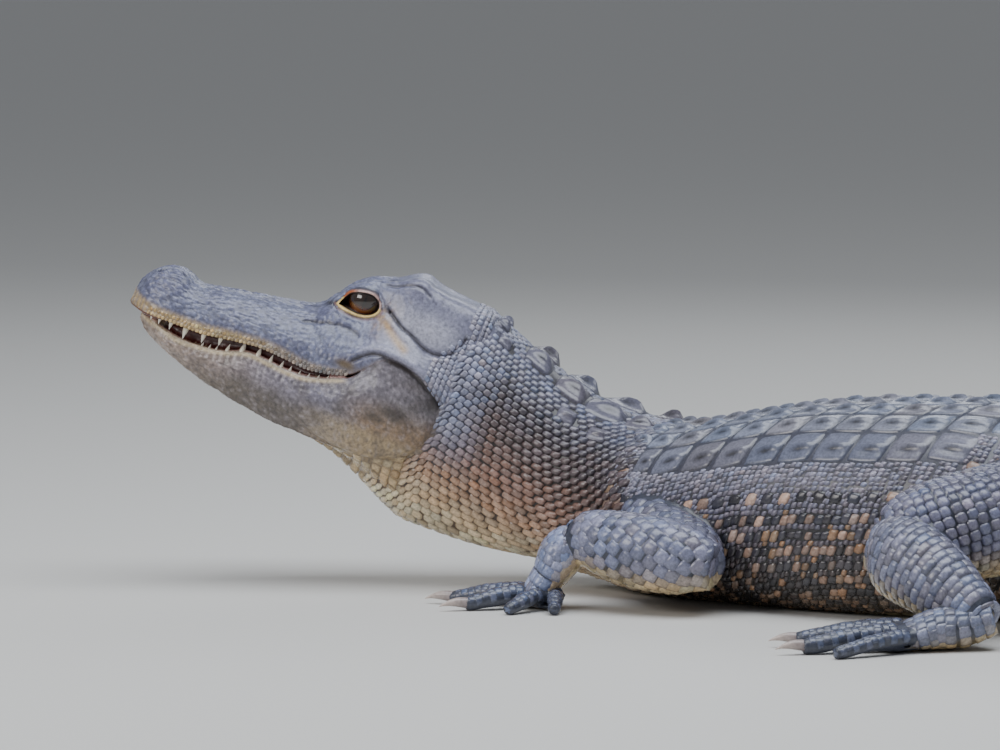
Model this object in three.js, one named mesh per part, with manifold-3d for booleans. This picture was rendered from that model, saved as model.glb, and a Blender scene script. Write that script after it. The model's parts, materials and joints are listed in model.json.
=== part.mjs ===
// American alligator, a subadult about 1.8 m long, resting on its belly with its head raised.
// Millimetres, +Z up, floor at z = 0. The trunk lies along X with the head towards -X, so the
// animal's left side faces -Y. The origin is the middle of the flat that the belly rests on.

import * as THREE from 'three';
import Module from 'manifold-3d';
import { mergeVertices } from 'three/addons/utils/BufferGeometryUtils.js';

const wasm = await Module();
wasm.setup();

// Driving dimensions

const GAP = 0.3;
const SLIVER = 0.06;
const DEGREE = Math.PI / 180;

const HEAD_YAW = 28 * DEGREE;
const HEAD_PITCH = 22 * DEGREE;
const OCCIPUT = [-344.7, -57.5, 200.6];
const HEAD_REAR = -28;

const NECK_END = 160;
const TORSO_END = 570;
const TAIL_TIP = 1500;
const TAIL_CUTS = [570, 790, 1030, 1270, 1500];
const TAIL_SIDES = 14;

const EYE_RADIUS = 13.5;
const EYE_PLACE = [65, 24.5, 0.5];

// Scutes of the back lie in rows across; each plate sits at a share of the trunk's half width.
const ROW_START = 182.6;
const ROW_PITCH = 29.8;
const BACK_ROWS = 12;
const PLATE_SHARES = [0.122, 0.355, 0.58, 0.785];
const PLATE_WIDTH = 0.208;
const PLATE_GAP = 2.6;
const SUNK = 3;

// Small tools: curves through named points, solids, joins and cuts

// A smooth curve through rows of [key, value, value, ...], read at any key.
function through(rows) {
  const sorted = [...rows].sort((a, b) => a[0] - b[0]);
  const last = sorted.length - 1;
  const slope = (i, column) => {
    const before = sorted[Math.max(i - 1, 0)];
    const after = sorted[Math.min(i + 1, last)];
    return (after[column] - before[column]) / (after[0] - before[0]);
  };
  return (key) => {
    const at = Math.min(Math.max(key, sorted[0][0]), sorted[last][0]);
    let i = 0;
    while (i < last - 1 && at > sorted[i + 1][0]) i += 1;
    const span = sorted[i + 1][0] - sorted[i][0];
    const t = (at - sorted[i][0]) / span;
    const values = [];
    for (let column = 1; column < sorted[i].length; column += 1) {
      const start = sorted[i][column];
      const end = sorted[i + 1][column];
      const m0 = slope(i, column) * span;
      const m1 = slope(i + 1, column) * span;
      const t2 = t * t;
      const t3 = t2 * t;
      values.push((2 * t3 - 3 * t2 + 1) * start + (t3 - 2 * t2 + t) * m0
        + (3 * t2 - 2 * t3) * end + (t3 - t2) * m1);
    }
    return values.length === 1 ? values[0] : values;
  };
}

const add = (a, b, scale = 1) => a.map((value, i) => value + b[i] * scale);
const mix = (a, b, t) => a.map((value, i) => value + (b[i] - value) * t);
const dot = (a, b) => a[0] * b[0] + a[1] * b[1] + a[2] * b[2];
const cross = (a, b) => [
  a[1] * b[2] - a[2] * b[1],
  a[2] * b[0] - a[0] * b[2],
  a[0] * b[1] - a[1] * b[0],
];
const unit = (a) => a.map((value) => value / Math.hypot(...a));

// A closed solid through rings of points, with a fan of faces over each end.
function loft(rings) {
  const count = rings[0].length;
  const points = rings.flat();
  const faces = [];
  for (let ring = 0; ring < rings.length - 1; ring += 1) {
    for (let i = 0; i < count; i += 1) {
      const a = ring * count + i;
      const b = ring * count + (i + 1) % count;
      faces.push(a, b, a + count, b, b + count, a + count);
    }
  }
  const first = points.length;
  points.push(middle(rings[0]), middle(rings[rings.length - 1]));
  const lastRing = (rings.length - 1) * count;
  for (let i = 0; i < count; i += 1) {
    const next = (i + 1) % count;
    faces.push(first, next, i);
    faces.push(first + 1, lastRing + i, lastRing + next);
  }
  return solid(points, faces);
}

function middle(ring) {
  let sum = [0, 0, 0];
  for (const point of ring) sum = add(sum, point);
  return sum.map((value) => value / ring.length);
}

// A solid from points and triangles, turned right side out.
function solid(points, faces) {
  let volume = 0;
  for (let i = 0; i < faces.length; i += 3) {
    const [a, b, c] = [points[faces[i]], points[faces[i + 1]], points[faces[i + 2]]];
    volume += dot(a, cross(b, c));
  }
  const turned = [];
  for (let i = 0; i < faces.length; i += 3) {
    const [a, b, c] = [faces[i], faces[i + 1], faces[i + 2]];
    turned.push(a, volume > 0 ? b : c, volume > 0 ? c : b);
  }
  return new wasm.Manifold(new wasm.Mesh({
    numProp: 3,
    vertProperties: new Float32Array(points.flat()),
    triVerts: new Uint32Array(turned),
  }));
}

function solidOf(geometry) {
  geometry.deleteAttribute('normal');
  geometry.deleteAttribute('uv');
  const merged = mergeVertices(geometry, 1e-4);
  return new wasm.Manifold(new wasm.Mesh({
    numProp: 3,
    vertProperties: new Float32Array(merged.attributes.position.array),
    triVerts: new Uint32Array(merged.index.array),
  }));
}

function joined(pieces) {
  let whole = pieces[0];
  for (const piece of pieces.slice(1)) whole = whole.add(piece);
  return whole;
}

// The largest closed surface, without the slivers that joins and cuts leave on it.
function largest(whole) {
  const parts = whole.decompose();
  parts.sort((a, b) => b.volume() - a.volume());
  return parts[0].simplify(SLIVER);
}

function geometryOf(whole) {
  const mesh = whole.getMesh();
  const geometry = new THREE.BufferGeometry();
  geometry.setAttribute('position', new THREE.BufferAttribute(new Float32Array(mesh.vertProperties), 3));
  geometry.setIndex(new THREE.BufferAttribute(new Uint32Array(mesh.triVerts), 1));
  geometry.computeVertexNormals();
  return geometry;
}

// Everything above the floor: a block that trims whatever would reach below it.
const FLOOR_BLOCK = solidOf(new THREE.BoxGeometry(4000, 4000, 1000).translate(0, 0, 500));

// The body axis, from the back of the head (0) to the tip of the tail (TAIL_TIP)

// A frame turned by yaw about Z and pitched up: forward runs towards the snout.
function frameOf(place, yaw, pitch) {
  const forward = [-Math.cos(yaw) * Math.cos(pitch), -Math.sin(yaw) * Math.cos(pitch), Math.sin(pitch)];
  const left = [Math.sin(yaw), -Math.cos(yaw), 0];
  return { place, forward, left, up: cross(left, forward).map((value) => -value) };
}

const HEAD = frameOf(OCCIPUT, HEAD_YAW, HEAD_PITCH);

function inFrame(frame, forward, left, up) {
  return add(add(add(frame.place, frame.forward, forward), frame.left, left), frame.up, up);
}

const NECK_START = inFrame(HEAD, HEAD_REAR - GAP, 0, 0);

// Neck and trunk: distance along the axis, then the place, yaw and pitch of the section.
const axisPlace = through([
  [0, ...NECK_START, 28, 22],
  [40, -287, -31, 150, 21.5, 18.5],
  [80, -250, -18.5, 110, 15, 14],
  [120, -212, -6.5, 88, 7.5, 7.5],
  [160, -175, 0, 70, 0, 0],
  [240, -95, 0, 70, 0, 0],
  [335, 0, 0, 70, 0, 0],
  [450, 115, 0, 70, 0, 0],
  [570, 235, 0, 70, 0, 0],
]);

// Tail: its yaw, bending to the animal's right and back again, and the height of its middle.
const tailYaw = through([
  [570, 0], [670, 9], [820, 26], [970, 37], [1090, 34], [1220, 19], [1350, 0], [1500, -16],
]);
const tailHeight = through([
  [570, 70], [630, 62], [720, 52], [870, 43], [1020, 35], [1170, 27.5], [1320, 18.5], [1440, 9.5],
  [1500, 3.5],
]);

// Section: reach above and below the middle, height of the widest line, half width, roundness.
const section = through([
  [0, 29, 153, -60, 56, 2.3, 2.0],
  [40, 36, 125, -36, 61, 2.2, 2.1],
  [80, 46, 92, -22, 68, 2.2, 2.2],
  [120, 50, 81, -12, 79, 2.3, 2.3],
  [160, 62, 71, -8, 89, 2.4, 2.5],
  [200, 66, 73, -9, 96, 2.5, 2.6],
  [241, 73, 74, -9, 102, 2.5, 2.7],
  [285, 81, 75, -8, 107, 2.5, 2.7],
  [335, 87, 75, -7, 110, 2.5, 2.7],
  [392, 90, 75, -5, 109, 2.4, 2.6],
  [450, 92, 74, -3, 103, 2.4, 2.5],
  [500, 89, 72, 0, 92, 2.3, 2.3],
  [540, 83, 71, 2, 80, 2.3, 2.2],
  [570, 76, 71, 3, 71, 2.3, 2.2],
  [630, 66, 63, 2, 60, 2.3, 2.2],
  [720, 56, 53.5, 0, 49, 2.3, 2.2],
  [870, 45, 44.5, -3, 36, 2.2, 2.3],
  [1020, 37, 36.5, -4, 26, 2.1, 2.3],
  [1170, 28.5, 29, -4, 17, 2.0, 2.3],
  [1320, 19.5, 20, -3, 10, 2.0, 2.2],
  [1440, 10.5, 11, -2, 5.5, 2.0, 2.2],
  [1500, 3, 5, -1, 2.5, 2.0, 2.0],
]);

// The tail's plan is walked off in short steps from the end of the trunk.
const TAIL_STEP = 10;
const tailPlan = [[235, 0]];
for (let along = TORSO_END; along < TAIL_TIP; along += TAIL_STEP) {
  const yaw = tailYaw(along + TAIL_STEP / 2) * DEGREE;
  const [x, y] = tailPlan[tailPlan.length - 1];
  tailPlan.push([x + Math.cos(yaw) * TAIL_STEP, y + Math.sin(yaw) * TAIL_STEP]);
}

function bodyFrame(along) {
  if (along <= TORSO_END) {
    const [x, y, z, yaw, pitch] = axisPlace(along);
    return frameOf([x, y, z], yaw * DEGREE, pitch * DEGREE);
  }
  const steps = (Math.min(along, TAIL_TIP) - TORSO_END) / TAIL_STEP;
  const whole = Math.min(Math.floor(steps), tailPlan.length - 2);
  const [x, y] = mix(tailPlan[whole], tailPlan[whole + 1], steps - whole);
  return frameOf([x, y, tailHeight(along)], tailYaw(along) * DEGREE, 0);
}

// A point of the body's surface; the angle is 0 on the back and grows towards the left side.
function bodyPoint(along, angle, grow = 0) {
  const [top, bottom, widest, half, topRound, bottomRound] = section(along);
  const upper = Math.cos(angle) >= 0;
  const power = 2 / (upper ? topRound : bottomRound);
  const side = Math.sign(Math.sin(angle)) * Math.abs(Math.sin(angle)) ** power;
  const rise = Math.abs(Math.cos(angle)) ** power;
  const reach = upper ? top - widest + grow : -(bottom + widest + grow);
  return inFrame(bodyFrame(along), 0, side * (half + grow), widest + rise * reach);
}

// Angles round a section of the trunk, closest on the back where the plates lie between them.
const HALF_TRUNK = [9.7, 22.9, 39, 58.5, 74, 90, 106, 122, 141, 160].map((angle) => angle * DEGREE);
const TRUNK_ANGLES = [0, ...HALF_TRUNK, Math.PI, ...HALF_TRUNK.map((angle) => 2 * Math.PI - angle).reverse()];
const TAIL_ANGLES = Array.from({ length: TAIL_SIDES }, (_, i) => (i / TAIL_SIDES) * 2 * Math.PI);

function evenly(from, to, steps) {
  return Array.from({ length: steps + 1 }, (_, i) => from + ((to - from) * i) / steps);
}

// A length of the body through sections at these places.
function bodyLength(places, angles, grow = 0) {
  const rings = places.map((along) => angles.map((angle) => bodyPoint(along, angle, grow)));
  return loft(rings).intersect(FLOOR_BLOCK);
}

// The angle at which the back lies this far out from the middle line.
function backAngle(along, across) {
  const [, , , half, topRound] = section(along);
  const share = Math.min(Math.abs(across) / half, 0.98);
  return Math.sign(across) * Math.asin(share ** (topRound / 2));
}

// A raised plate on the body: its base is sunk in the flesh, its rim stands clear of it, and a
// keel rises towards the rear.
function scute(along, across, length, width, rim, keel) {
  const at = (forth, side, rise) => {
    const place = along + forth * length;
    return bodyPoint(place, backAngle(place, across + side * width), rise);
  };
  const corners = (reach, rise) => [
    at(-reach, -reach, rise), at(-reach, reach, rise), at(reach, reach, rise), at(reach, -reach, rise),
  ];
  const points = [
    ...corners(0.5, -SUNK), ...corners(0.45, rim), at(-0.25, 0, rim + keel * 0.4), at(0.4, 0, rim + keel),
  ];
  return solid(points, [
    0, 1, 2, 0, 2, 3, 0, 5, 1, 0, 4, 5, 1, 6, 2, 1, 5, 6, 2, 7, 3, 2, 6, 7, 3, 4, 0, 3, 7, 4,
    4, 8, 5, 5, 8, 9, 5, 9, 6, 6, 9, 7, 7, 9, 8, 7, 8, 4,
  ]);
}

// An upright plate of a crest, swept back to a point.
function crestPlate(along, across, length, width, height) {
  const at = (forth, side, rise) => {
    const place = along + forth * length;
    return bodyPoint(place, backAngle(place, across + side * width), rise);
  };
  const points = [
    at(-0.5, -0.5, -SUNK), at(-0.5, 0.5, -SUNK), at(0.45, 0.5, -SUNK), at(0.45, -0.5, -SUNK),
    at(-0.2, 0, height * 0.55), at(0.42, 0, height),
  ];
  return solid(points, [0, 1, 2, 0, 2, 3, 0, 4, 1, 1, 4, 5, 1, 5, 2, 2, 5, 3, 3, 5, 4, 3, 4, 0]);
}

// Head: outlines along the head's own axis, forward from the occiput

// The line of the crown and snout, seen from the side.
const crown = through([
  [238, -61], [236, -52], [230, -43], [222, -36.5], [212, -33.5], [200, -33.5], [192, -37.5],
  [184, -36.5], [172, -33.5], [142, -27.5], [124, -24], [98, -17.5], [88, -12], [78, -4], [68, 4],
  [56, 13], [48, 21], [40, 27], [26, 32], [14, 33], [4, 30], [-9, 29], [-28, 29],
]);
// Edge of the brow and of the skull table: out from the middle, then up.
const browEdge = through([
  [238, 1.2, -62], [230, 12, -44.5], [212, 19, -36], [192, 19, -40], [172, 20, -37], [142, 21, -31],
  [124, 22, -27], [98, 20, -19], [86, 21, -1], [77, 23, 10], [68, 25, 16], [56, 28, 19.5], [47, 31.5, 22],
  [35, 34.5, 30], [22, 36, 34.5], [12, 36.5, 33.5], [0, 37, 30], [-14, 37, 26], [-28, 36, 23],
]);
// Side of the face at the height of the eye and ear.
const faceSide = through([
  [238, 2, -64], [230, 18, -52], [212, 26, -46], [192, 29, -48], [172, 31.5, -45], [142, 34, -39],
  [124, 36, -36], [98, 36, -30], [86, 36, -19], [77, 36.5, -13], [65, 36.5, -12], [54, 39, -9],
  [45, 41, -3], [30, 45, -6], [20, 47, -9], [5, 50, -14], [-10, 51, -14], [-28, 49, -17],
]);
// The cheek, above the upper lip.
const cheek = through([
  [238, 2.6, -68], [230, 20.5, -62], [212, 30.5, -60], [192, 33.5, -60], [172, 36.5, -57], [142, 42, -52],
  [124, 45, -50], [98, 49, -48], [86, 51, -46], [65, 55, -42], [54, 57, -38], [45, 58.5, -33], [30, 61, -25],
  [20, 62, -25], [5, 63, -27], [-10, 61, -33], [-28, 55, -42],
]);
// The upper lip's edge; behind the corner of the mouth it is the fold of the cheek.
const upperLip = through([
  [238, 3, -72], [236, 11, -73], [232, 18, -73.5], [225, 25, -74], [215, 30, -74], [205, 33, -73.5],
  [192, 34.5, -73], [175, 37.5, -72], [158, 40.5, -69], [142, 43, -66], [128, 45.5, -64], [113, 48, -64],
  [88, 52, -65], [76, 54, -63], [65, 55.5, -60], [53, 57.5, -55], [44, 59, -46], [36, 60.5, -37],
  [28, 61.5, -33], [20, 62, -33.5], [5, 62.5, -36.5], [-10, 60, -43.5], [-20, 57, -50], [-28, 53, -56],
]);

const SKULL_STATIONS = [
  238, 236, 232, 226, 218, 210, 202, 196, 190, 181, 166, 149, 132, 116, 102, 92, 85, 79, 73, 67,
  61, 55, 49, 42, 35, 28, 20, 12, 4, -6, -16, -28,
];
const PALATE_RISE = 5;
const LIP_THICKNESS = 6;

// Half of one section of the skull, from the crown round to the middle of the palate.
function skullHalf(x) {
  const [browY, browZ] = browEdge(x);
  const [sideY, sideZ] = faceSide(x);
  const [cheekY, cheekZ] = cheek(x);
  const [lipY, lipZ] = upperLip(x);
  const outline = through([
    [0, 0, crown(x)], [1, browY, browZ], [2, sideY, sideZ], [3, cheekY, cheekZ], [4, lipY, lipZ],
  ]);
  const half = [0, 0.6, 1, 1.5, 2, 2.5, 3, 3.5, 4].map((key) => outline(key));
  const open = x > 50 ? 1 : 0;
  half.push([lipY * (1 - LIP_THICKNESS / 62), lipZ + open * 0.8 * PALATE_RISE]);
  half.push([0, lipZ + open * PALATE_RISE]);
  return half;
}

// The lower jaw: lip, jowl, lower edge, side of the throat and its middle line.
const lowerLip = through([
  [226, 3, -77], [224, 10, -77.5], [219, 17, -78], [212, 22.5, -79], [202, 27.5, -81], [190, 31, -83],
  [171, 34, -81], [154, 38, -78], [136, 42, -71.5], [121, 45, -71], [106, 47.5, -72], [88, 51, -71],
  [74, 53.5, -67], [60, 56, -61], [51, 58, -56.3], [44, 59.2, -46.3], [36, 60.7, -37.3], [28, 61.8, -33.3],
  [20, 62.4, -33.8], [5, 63, -36.8], [-10, 60.5, -43.8], [-20, 57, -50.3], [-28, 52, -56.3],
]);
const jowl = through([
  [226, 3, -79], [219, 17.5, -82], [202, 28, -89], [190, 31.5, -91], [171, 35, -92], [154, 39.5, -92],
  [121, 46.5, -91], [88, 53, -90], [60, 59, -84], [40, 63, -76], [20, 66, -70], [5, 66.5, -69],
  [-10, 62.5, -71], [-20, 57, -75], [-28, 48, -78],
]);
const jawEdge = through([
  [226, 2, -81], [221, 11, -86], [214, 16, -90], [195, 22, -97], [174, 26, -103], [154, 29.5, -107.5],
  [133, 33, -111], [94, 40, -115], [65, 45, -117], [38, 49, -115], [11, 51, -111], [-5, 50, -106],
  [-18, 46, -101], [-28, 40, -99],
]);
const throatSide = through([
  [226, 1, -81.5], [214, 8, -91], [195, 13, -98.5], [154, 19, -109], [94, 28, -116.5], [65, 34, -118],
  [38, 37, -119], [11, 38, -124], [-5, 37, -129], [-28, 34, -134],
]);
const throatLine = through([
  [226, -82], [221, -86.5], [214, -91], [195, -98], [174, -104], [154, -109], [133, -113], [94, -117],
  [65, -119], [46, -123], [25, -131], [3, -140], [-21, -151], [-28, -153.5],
]);

const JAW_STATIONS = [
  226, 224, 219, 212, 202, 188, 172, 155, 138, 120, 102, 85, 73, 61, 55, 49, 42, 35, 28, 20, 12, 4,
  -6, -16, -28,
];

// Half of one section of the lower jaw, from the mouth's floor round to the throat.
function jawHalf(x) {
  const [lipY, lipZ] = lowerLip(x);
  const [edgeY, edgeZ] = jawEdge(x);
  const outline = through([[0, lipY, lipZ], [1, ...jowl(x)], [2, edgeY, edgeZ]]);
  const open = x > 50 ? 1 : 0;
  const half = [
    [0, lipZ - open * 5],
    [lipY * (1 - LIP_THICKNESS / 62), lipZ - open * 3],
  ];
  for (const key of [0, 0.5, 1, 1.5, 2]) half.push(outline(key));
  half.push(throatSide(x), [0, throatLine(x)]);
  return half;
}

// Both halves of a head section as one ring of points.
function headRing(x, half) {
  const right = half.slice(1, -1).reverse();
  return [
    ...half.map(([y, z]) => inFrame(HEAD, x, y, z)),
    ...right.map(([y, z]) => inFrame(HEAD, x, -y, z)),
  ];
}

// Tapered tubes for limbs, toes, claws and teeth

// Rows are [point, radius across, radius up]; the rings stand square to the path.
function tube(rows, sides, grow = 0) {
  const rings = rows.map(([point, across, upward], i) => {
    const before = rows[Math.max(i - 1, 0)][0];
    const after = rows[Math.min(i + 1, rows.length - 1)][0];
    const along = unit(add(after, before, -1));
    const vertical = Math.abs(along[2]) > 0.97 ? [1, 0, 0] : [0, 0, 1];
    const side = unit(cross(vertical, along));
    const up = cross(along, side);
    const ring = [];
    for (let k = 0; k < sides; k += 1) {
      const angle = (k / sides) * 2 * Math.PI;
      const offset = add(side.map((value) => value * Math.cos(angle) * (across + grow)), up,
        Math.sin(angle) * (upward + grow));
      ring.push(add(point, offset));
    }
    return ring;
  });
  return loft(rings);
}

// The same tube with its path and radii smoothed through the rows.
function smoothTube(rows, steps, sides, grow = 0) {
  const curve = through(rows.map(([point, across, upward], i) => [i, ...point, across, upward]));
  const smooth = [];
  for (let i = 0; i <= steps; i += 1) {
    const [x, y, z, across, upward] = curve((i / steps) * (rows.length - 1));
    smooth.push([[x, y, z], across, upward]);
  }
  return tube(smooth, sides, grow);
}

// A flat plate with the given outline, from one height to another.
function plate(outline, low, high) {
  const points = [...outline.map(([x, y]) => [x, y, low]), ...outline.map(([x, y]) => [x, y, high])];
  return prism(points, outline.length);
}

// A solid between two outlines with the same count of points.
function prism(points, count) {
  const faces = [];
  for (let i = 1; i < count - 1; i += 1) {
    faces.push(0, i + 1, i);
    faces.push(count, count + i, count + i + 1);
  }
  for (let i = 0; i < count; i += 1) {
    const next = (i + 1) % count;
    faces.push(i, next, i + count, next, next + count, i + count);
  }
  return solid(points, faces);
}

// The model

const model = new THREE.Group();

const DORSAL = { color: 0x5c6270, roughness: 0.45, metalness: 0 };
const FLANK = { color: 0x6f675f, roughness: 0.5, metalness: 0 };
const LIMB = { color: 0x545a68, roughness: 0.45, metalness: 0 };
const JAW = { color: 0xa39a90, roughness: 0.5, metalness: 0 };
const HORN = { color: 0xb9ad98, roughness: 0.4, metalness: 0 };
const EYE = { color: 0x3a2416, roughness: 0.1, metalness: 0 };

function place(name, whole, look) {
  const mesh = new THREE.Mesh(geometryOf(largest(whole)), new THREE.MeshStandardMaterial(look));
  mesh.name = name;
  model.add(mesh);
}

// Neck and trunk

const neckPlaces = evenly(0, NECK_END - GAP / 2, 9);
const rowEdges = [NECK_END + GAP / 2, ...evenly(ROW_START, ROW_START + BACK_ROWS * ROW_PITCH, BACK_ROWS),
  TORSO_END - GAP / 2];
const neck = bodyLength(neckPlaces, TRUNK_ANGLES);
const torso = bodyLength(rowEdges, TRUNK_ANGLES);
const trunkGrown = bodyLength([...neckPlaces.slice(-4), ...rowEdges, TORSO_END + 30, TORSO_END + 60],
  TRUNK_ANGLES, GAP);

// Plates of the nape and neck: place along the axis, out from the middle, length, width, keel.
const NECK_PLATES = [
  [12, 12, 14, 13, 4], [18, 31, 13, 12, 4], [44, 16, 27, 27, 7], [73, 18.5, 29, 32, 8], [80, 47, 17, 15, 5],
  [107, 20.5, 37, 36, 9], [114, 54, 18, 16, 5], [145, 26, 24, 24, 5],
];
const neckPlates = NECK_PLATES.flatMap(([along, across, length, width, keel]) => [
  scute(along, across, length, width, 1.6, keel),
  scute(along, -across, length, width, 1.6, keel),
]);

// Plates of the back, between the sections of the trunk: fewer at the shoulders and the hips.
const backPlates = [];
for (let row = 0; row < rowEdges.length - 1; row += 1) {
  const [from, to] = [rowEdges[row], rowEdges[row + 1]];
  const along = (from + to) / 2;
  const half = section(along)[3];
  const pairs = row === 0 || row > BACK_ROWS - 2 ? 3 : 4;
  for (const share of PLATE_SHARES.slice(0, pairs)) {
    for (const side of [1, -1]) {
      const keel = share > 0.7 ? 3.6 : 4.4;
      const length = to - from - PLATE_GAP;
      backPlates.push(scute(along, side * share * half, length, half * PLATE_WIDTH, 1.3, keel));
    }
  }
}

place('neck', joined([neck, ...neckPlates]), FLANK);
place('torso', joined([torso, ...backPlates]), DORSAL);

// Tail, in four lengths

// Whorls of the tail: a crest of two rows closes in to a single one at DOUBLE_END.
const DOUBLE_END = 1045;
const whorlPitch = through([[570, 27.5], [1045, 25], [1500, 19]]);
const crestHeight = through([[570, 6], [700, 11], [900, 16], [1045, 18], [1200, 17], [1350, 12], [1500, 6]]);
const crestSpread = through([[570, 0.6], [700, 0.5], [900, 0.36], [1045, 0.22]]);

for (let i = 0; i < TAIL_CUTS.length - 1; i += 1) {
  const [from, to] = [TAIL_CUTS[i] + GAP / 2, TAIL_CUTS[i + 1] - GAP / 2];
  const count = Math.round((to - from) / whorlPitch((from + to) / 2));
  const pitch = (to - from) / count;
  const pieces = [bodyLength(evenly(from, to, count), TAIL_ANGLES)];
  for (let whorl = 0; whorl < count; whorl += 1) {
    const along = from + (whorl + 0.5) * pitch;
    const half = section(along)[3];
    const height = crestHeight(along);
    const across = half * crestSpread(along);
    const outwards = along < DOUBLE_END ? [across, -across] : [0];
    for (const out of outwards) {
      pieces.push(crestPlate(along, out, pitch - PLATE_GAP, half * 0.1 + 2.5, height));
    }
  }
  place(`tail_${i + 1}`, joined(pieces), DORSAL);
}

// Skull and upper jaw, lower jaw and eyes

const skull = loft(SKULL_STATIONS.map((x) => headRing(x, skullHalf(x))));
const lowerJaw = loft(JAW_STATIONS.map((x) => headRing(x, jawHalf(x))));

// How far out the side of the face lies at a height, from the crown down to the lip.
function faceAt(x, z) {
  const lines = [browEdge(x), faceSide(x), cheek(x), upperLip(x)];
  const rows = [[crown(x), 0], ...lines.map(([y, up]) => [up, y])];
  for (let i = 1; i < rows.length; i += 1) {
    const [high, highOut] = rows[i - 1];
    const [low, lowOut] = rows[i];
    if (z >= low) return highOut + ((lowOut - highOut) * (high - z)) / (high - low);
  }
  return rows[rows.length - 1][1];
}

// A tube through points of the head: [forward, out, up, radius out, radius up].
function headTube(side, rows, steps, sides) {
  return smoothTube(rows.map(([x, y, z, across, upward]) => [
    inFrame(HEAD, x, side * y, z), across, upward,
  ]), steps, sides);
}

// A tooth with its root sunk in the jaw: [forward, radius, length out of the lip].
const UPPER_TEETH = [
  [218, 1.5, 3.2], [212, 1.7, 4.2], [203, 2, 5.5], [190.7, 2.6, 8.4], [176.2, 2.3, 7], [162.5, 2, 5.5],
];
const LOWER_TEETH = [
  [174.7, 1.5, 3.4], [168.6, 1.5, 3.4], [163.2, 1.5, 3.4], [154.9, 2, 6], [144, 2.6, 9], [131.1, 2.5, 8],
  [120.3, 2, 6], [110.8, 2, 6], [103.3, 1.8, 5], [95.5, 1.4, 3.4], [88, 1.4, 3.2], [80.5, 1.3, 3],
  [73, 1.2, 2.6],
];
const TOOTH_ROOT = 4;
const TOOTH_SIDES = 5;

function tooth(side, lip, [x, radius, length], way) {
  const [lipY, lipZ] = lip(x);
  const out = lipY - radius - 0.6;
  const points = [];
  for (let i = 0; i < TOOTH_SIDES; i += 1) {
    const angle = (i / TOOTH_SIDES) * 2 * Math.PI;
    points.push(inFrame(HEAD, x + radius * Math.cos(angle), side * (out + radius * 0.8 * Math.sin(angle)),
      lipZ - way * TOOTH_ROOT));
  }
  points.push(inFrame(HEAD, x, side * out, lipZ + way * length));
  return solid(points, [0, 2, 1, 0, 3, 2, 0, 4, 3, 0, 1, 5, 1, 2, 5, 2, 3, 5, 3, 4, 5, 4, 0, 5]);
}

// The lids are a cap over the eyeball with an almond-shaped opening.
const LID_THICKNESS = 2.6;
const OPENING = [[79, -5], [76, 3], [69, 8], [61, 8], [54.5, 3], [54, -4], [59, -8.5], [67, -10], [75, -8.5]];

function lids(side) {
  const cap = eyeball(side, EYE_RADIUS + GAP + LID_THICKNESS);
  const count = OPENING.length;
  const points = [
    ...OPENING.map(([x, z]) => inFrame(HEAD, x, side * EYE_PLACE[1], z)),
    ...OPENING.map(([x, z]) => inFrame(HEAD, x, side * (EYE_PLACE[1] + 40), z)),
  ];
  return cap.subtract(prism(points, count));
}

// The flap over the ear, and the slit under its edge.
const EAR_EDGE = [[44, 1], [31, -6], [16, -11.5], [2, -15.5], [-8, -14], [-15, -8], [-18, 3]];
const NOSTRIL = [[203, 11.5], [208, 8], [214, 8], [219, 11]];

function earSlit(side) {
  return headTube(side, EAR_EDGE.map(([x, z], i) => {
    const ends = i === 0 || i === EAR_EDGE.length - 1;
    return [x, faceAt(x, z), z, ends ? 0.6 : 1.6, ends ? 0.6 : 2.2];
  }), 8, 5);
}

function nostril(side) {
  return headTube(side, NOSTRIL.map(([x, y], i) => [
    x, y, crown(x) - 1, i === 0 || i === NOSTRIL.length - 1 ? 0.8 : 2.2, 4,
  ]), 4, 5);
}

function eyeball(side, radius) {
  const [x, y, z] = inFrame(HEAD, EYE_PLACE[0], side * EYE_PLACE[1], EYE_PLACE[2]);
  return solidOf(new THREE.SphereGeometry(radius, 12, 7).translate(x, y, z));
}

const SIDES = [1, -1];
const upperTeeth = SIDES.flatMap((side) => UPPER_TEETH.map((row) => tooth(side, upperLip, row, -1)));
const lowerTeeth = SIDES.flatMap((side) => LOWER_TEETH.map((row) => tooth(side, lowerLip, row, 1)));
let face = joined([skull, ...SIDES.map(lids), ...upperTeeth]);
for (const side of SIDES) {
  face = face.subtract(eyeball(side, EYE_RADIUS + GAP)).subtract(earSlit(side)).subtract(nostril(side));
}
place('skull', face, DORSAL);
place('lower_jaw', joined([lowerJaw, ...lowerTeeth]), JAW);
place('eye_left', eyeball(1, EYE_RADIUS), EYE);
place('eye_right', eyeball(-1, EYE_RADIUS), EYE);

// Limbs: each length is cut clear of what it grows from

// Rows are [point, radius across, radius up], from the trunk outwards.
const UPPER_ARM_LEFT = [[[-156, -60, 62], 31, 31], [[-130, -94, 54], 28, 28], [[-84, -124, 43], 26, 27],
  [[-64, -133, 37], 15, 17]];
const FOREARM_LEFT = [[[-60, -134, 38], 15, 18], [[-86, -137, 43], 25, 27], [[-128, -140, 48], 25, 28],
  [[-160, -140, 53], 21, 23], [[-176, -140, 50], 19, 18]];
const UPPER_ARM_RIGHT = [[[-158, 60, 62], 31, 31], [[-140, 98, 56], 28, 28], [[-106, 138, 45], 26, 27],
  [[-90, 151, 40], 15, 17]];
const FOREARM_RIGHT = [[[-86, 152, 40], 15, 18], [[-108, 160, 42], 25, 27], [[-142, 174, 42], 24, 26],
  [[-172, 187, 40], 20, 21], [[-186, 193, 36], 18, 16]];
const THIGH_LEFT = [[[192, -40, 84], 50, 42], [[176, -84, 86], 46, 42], [[146, -138, 80], 36, 39],
  [[122, -164, 73], 27, 33], [[108, -176, 68], 15, 21]];
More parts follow.
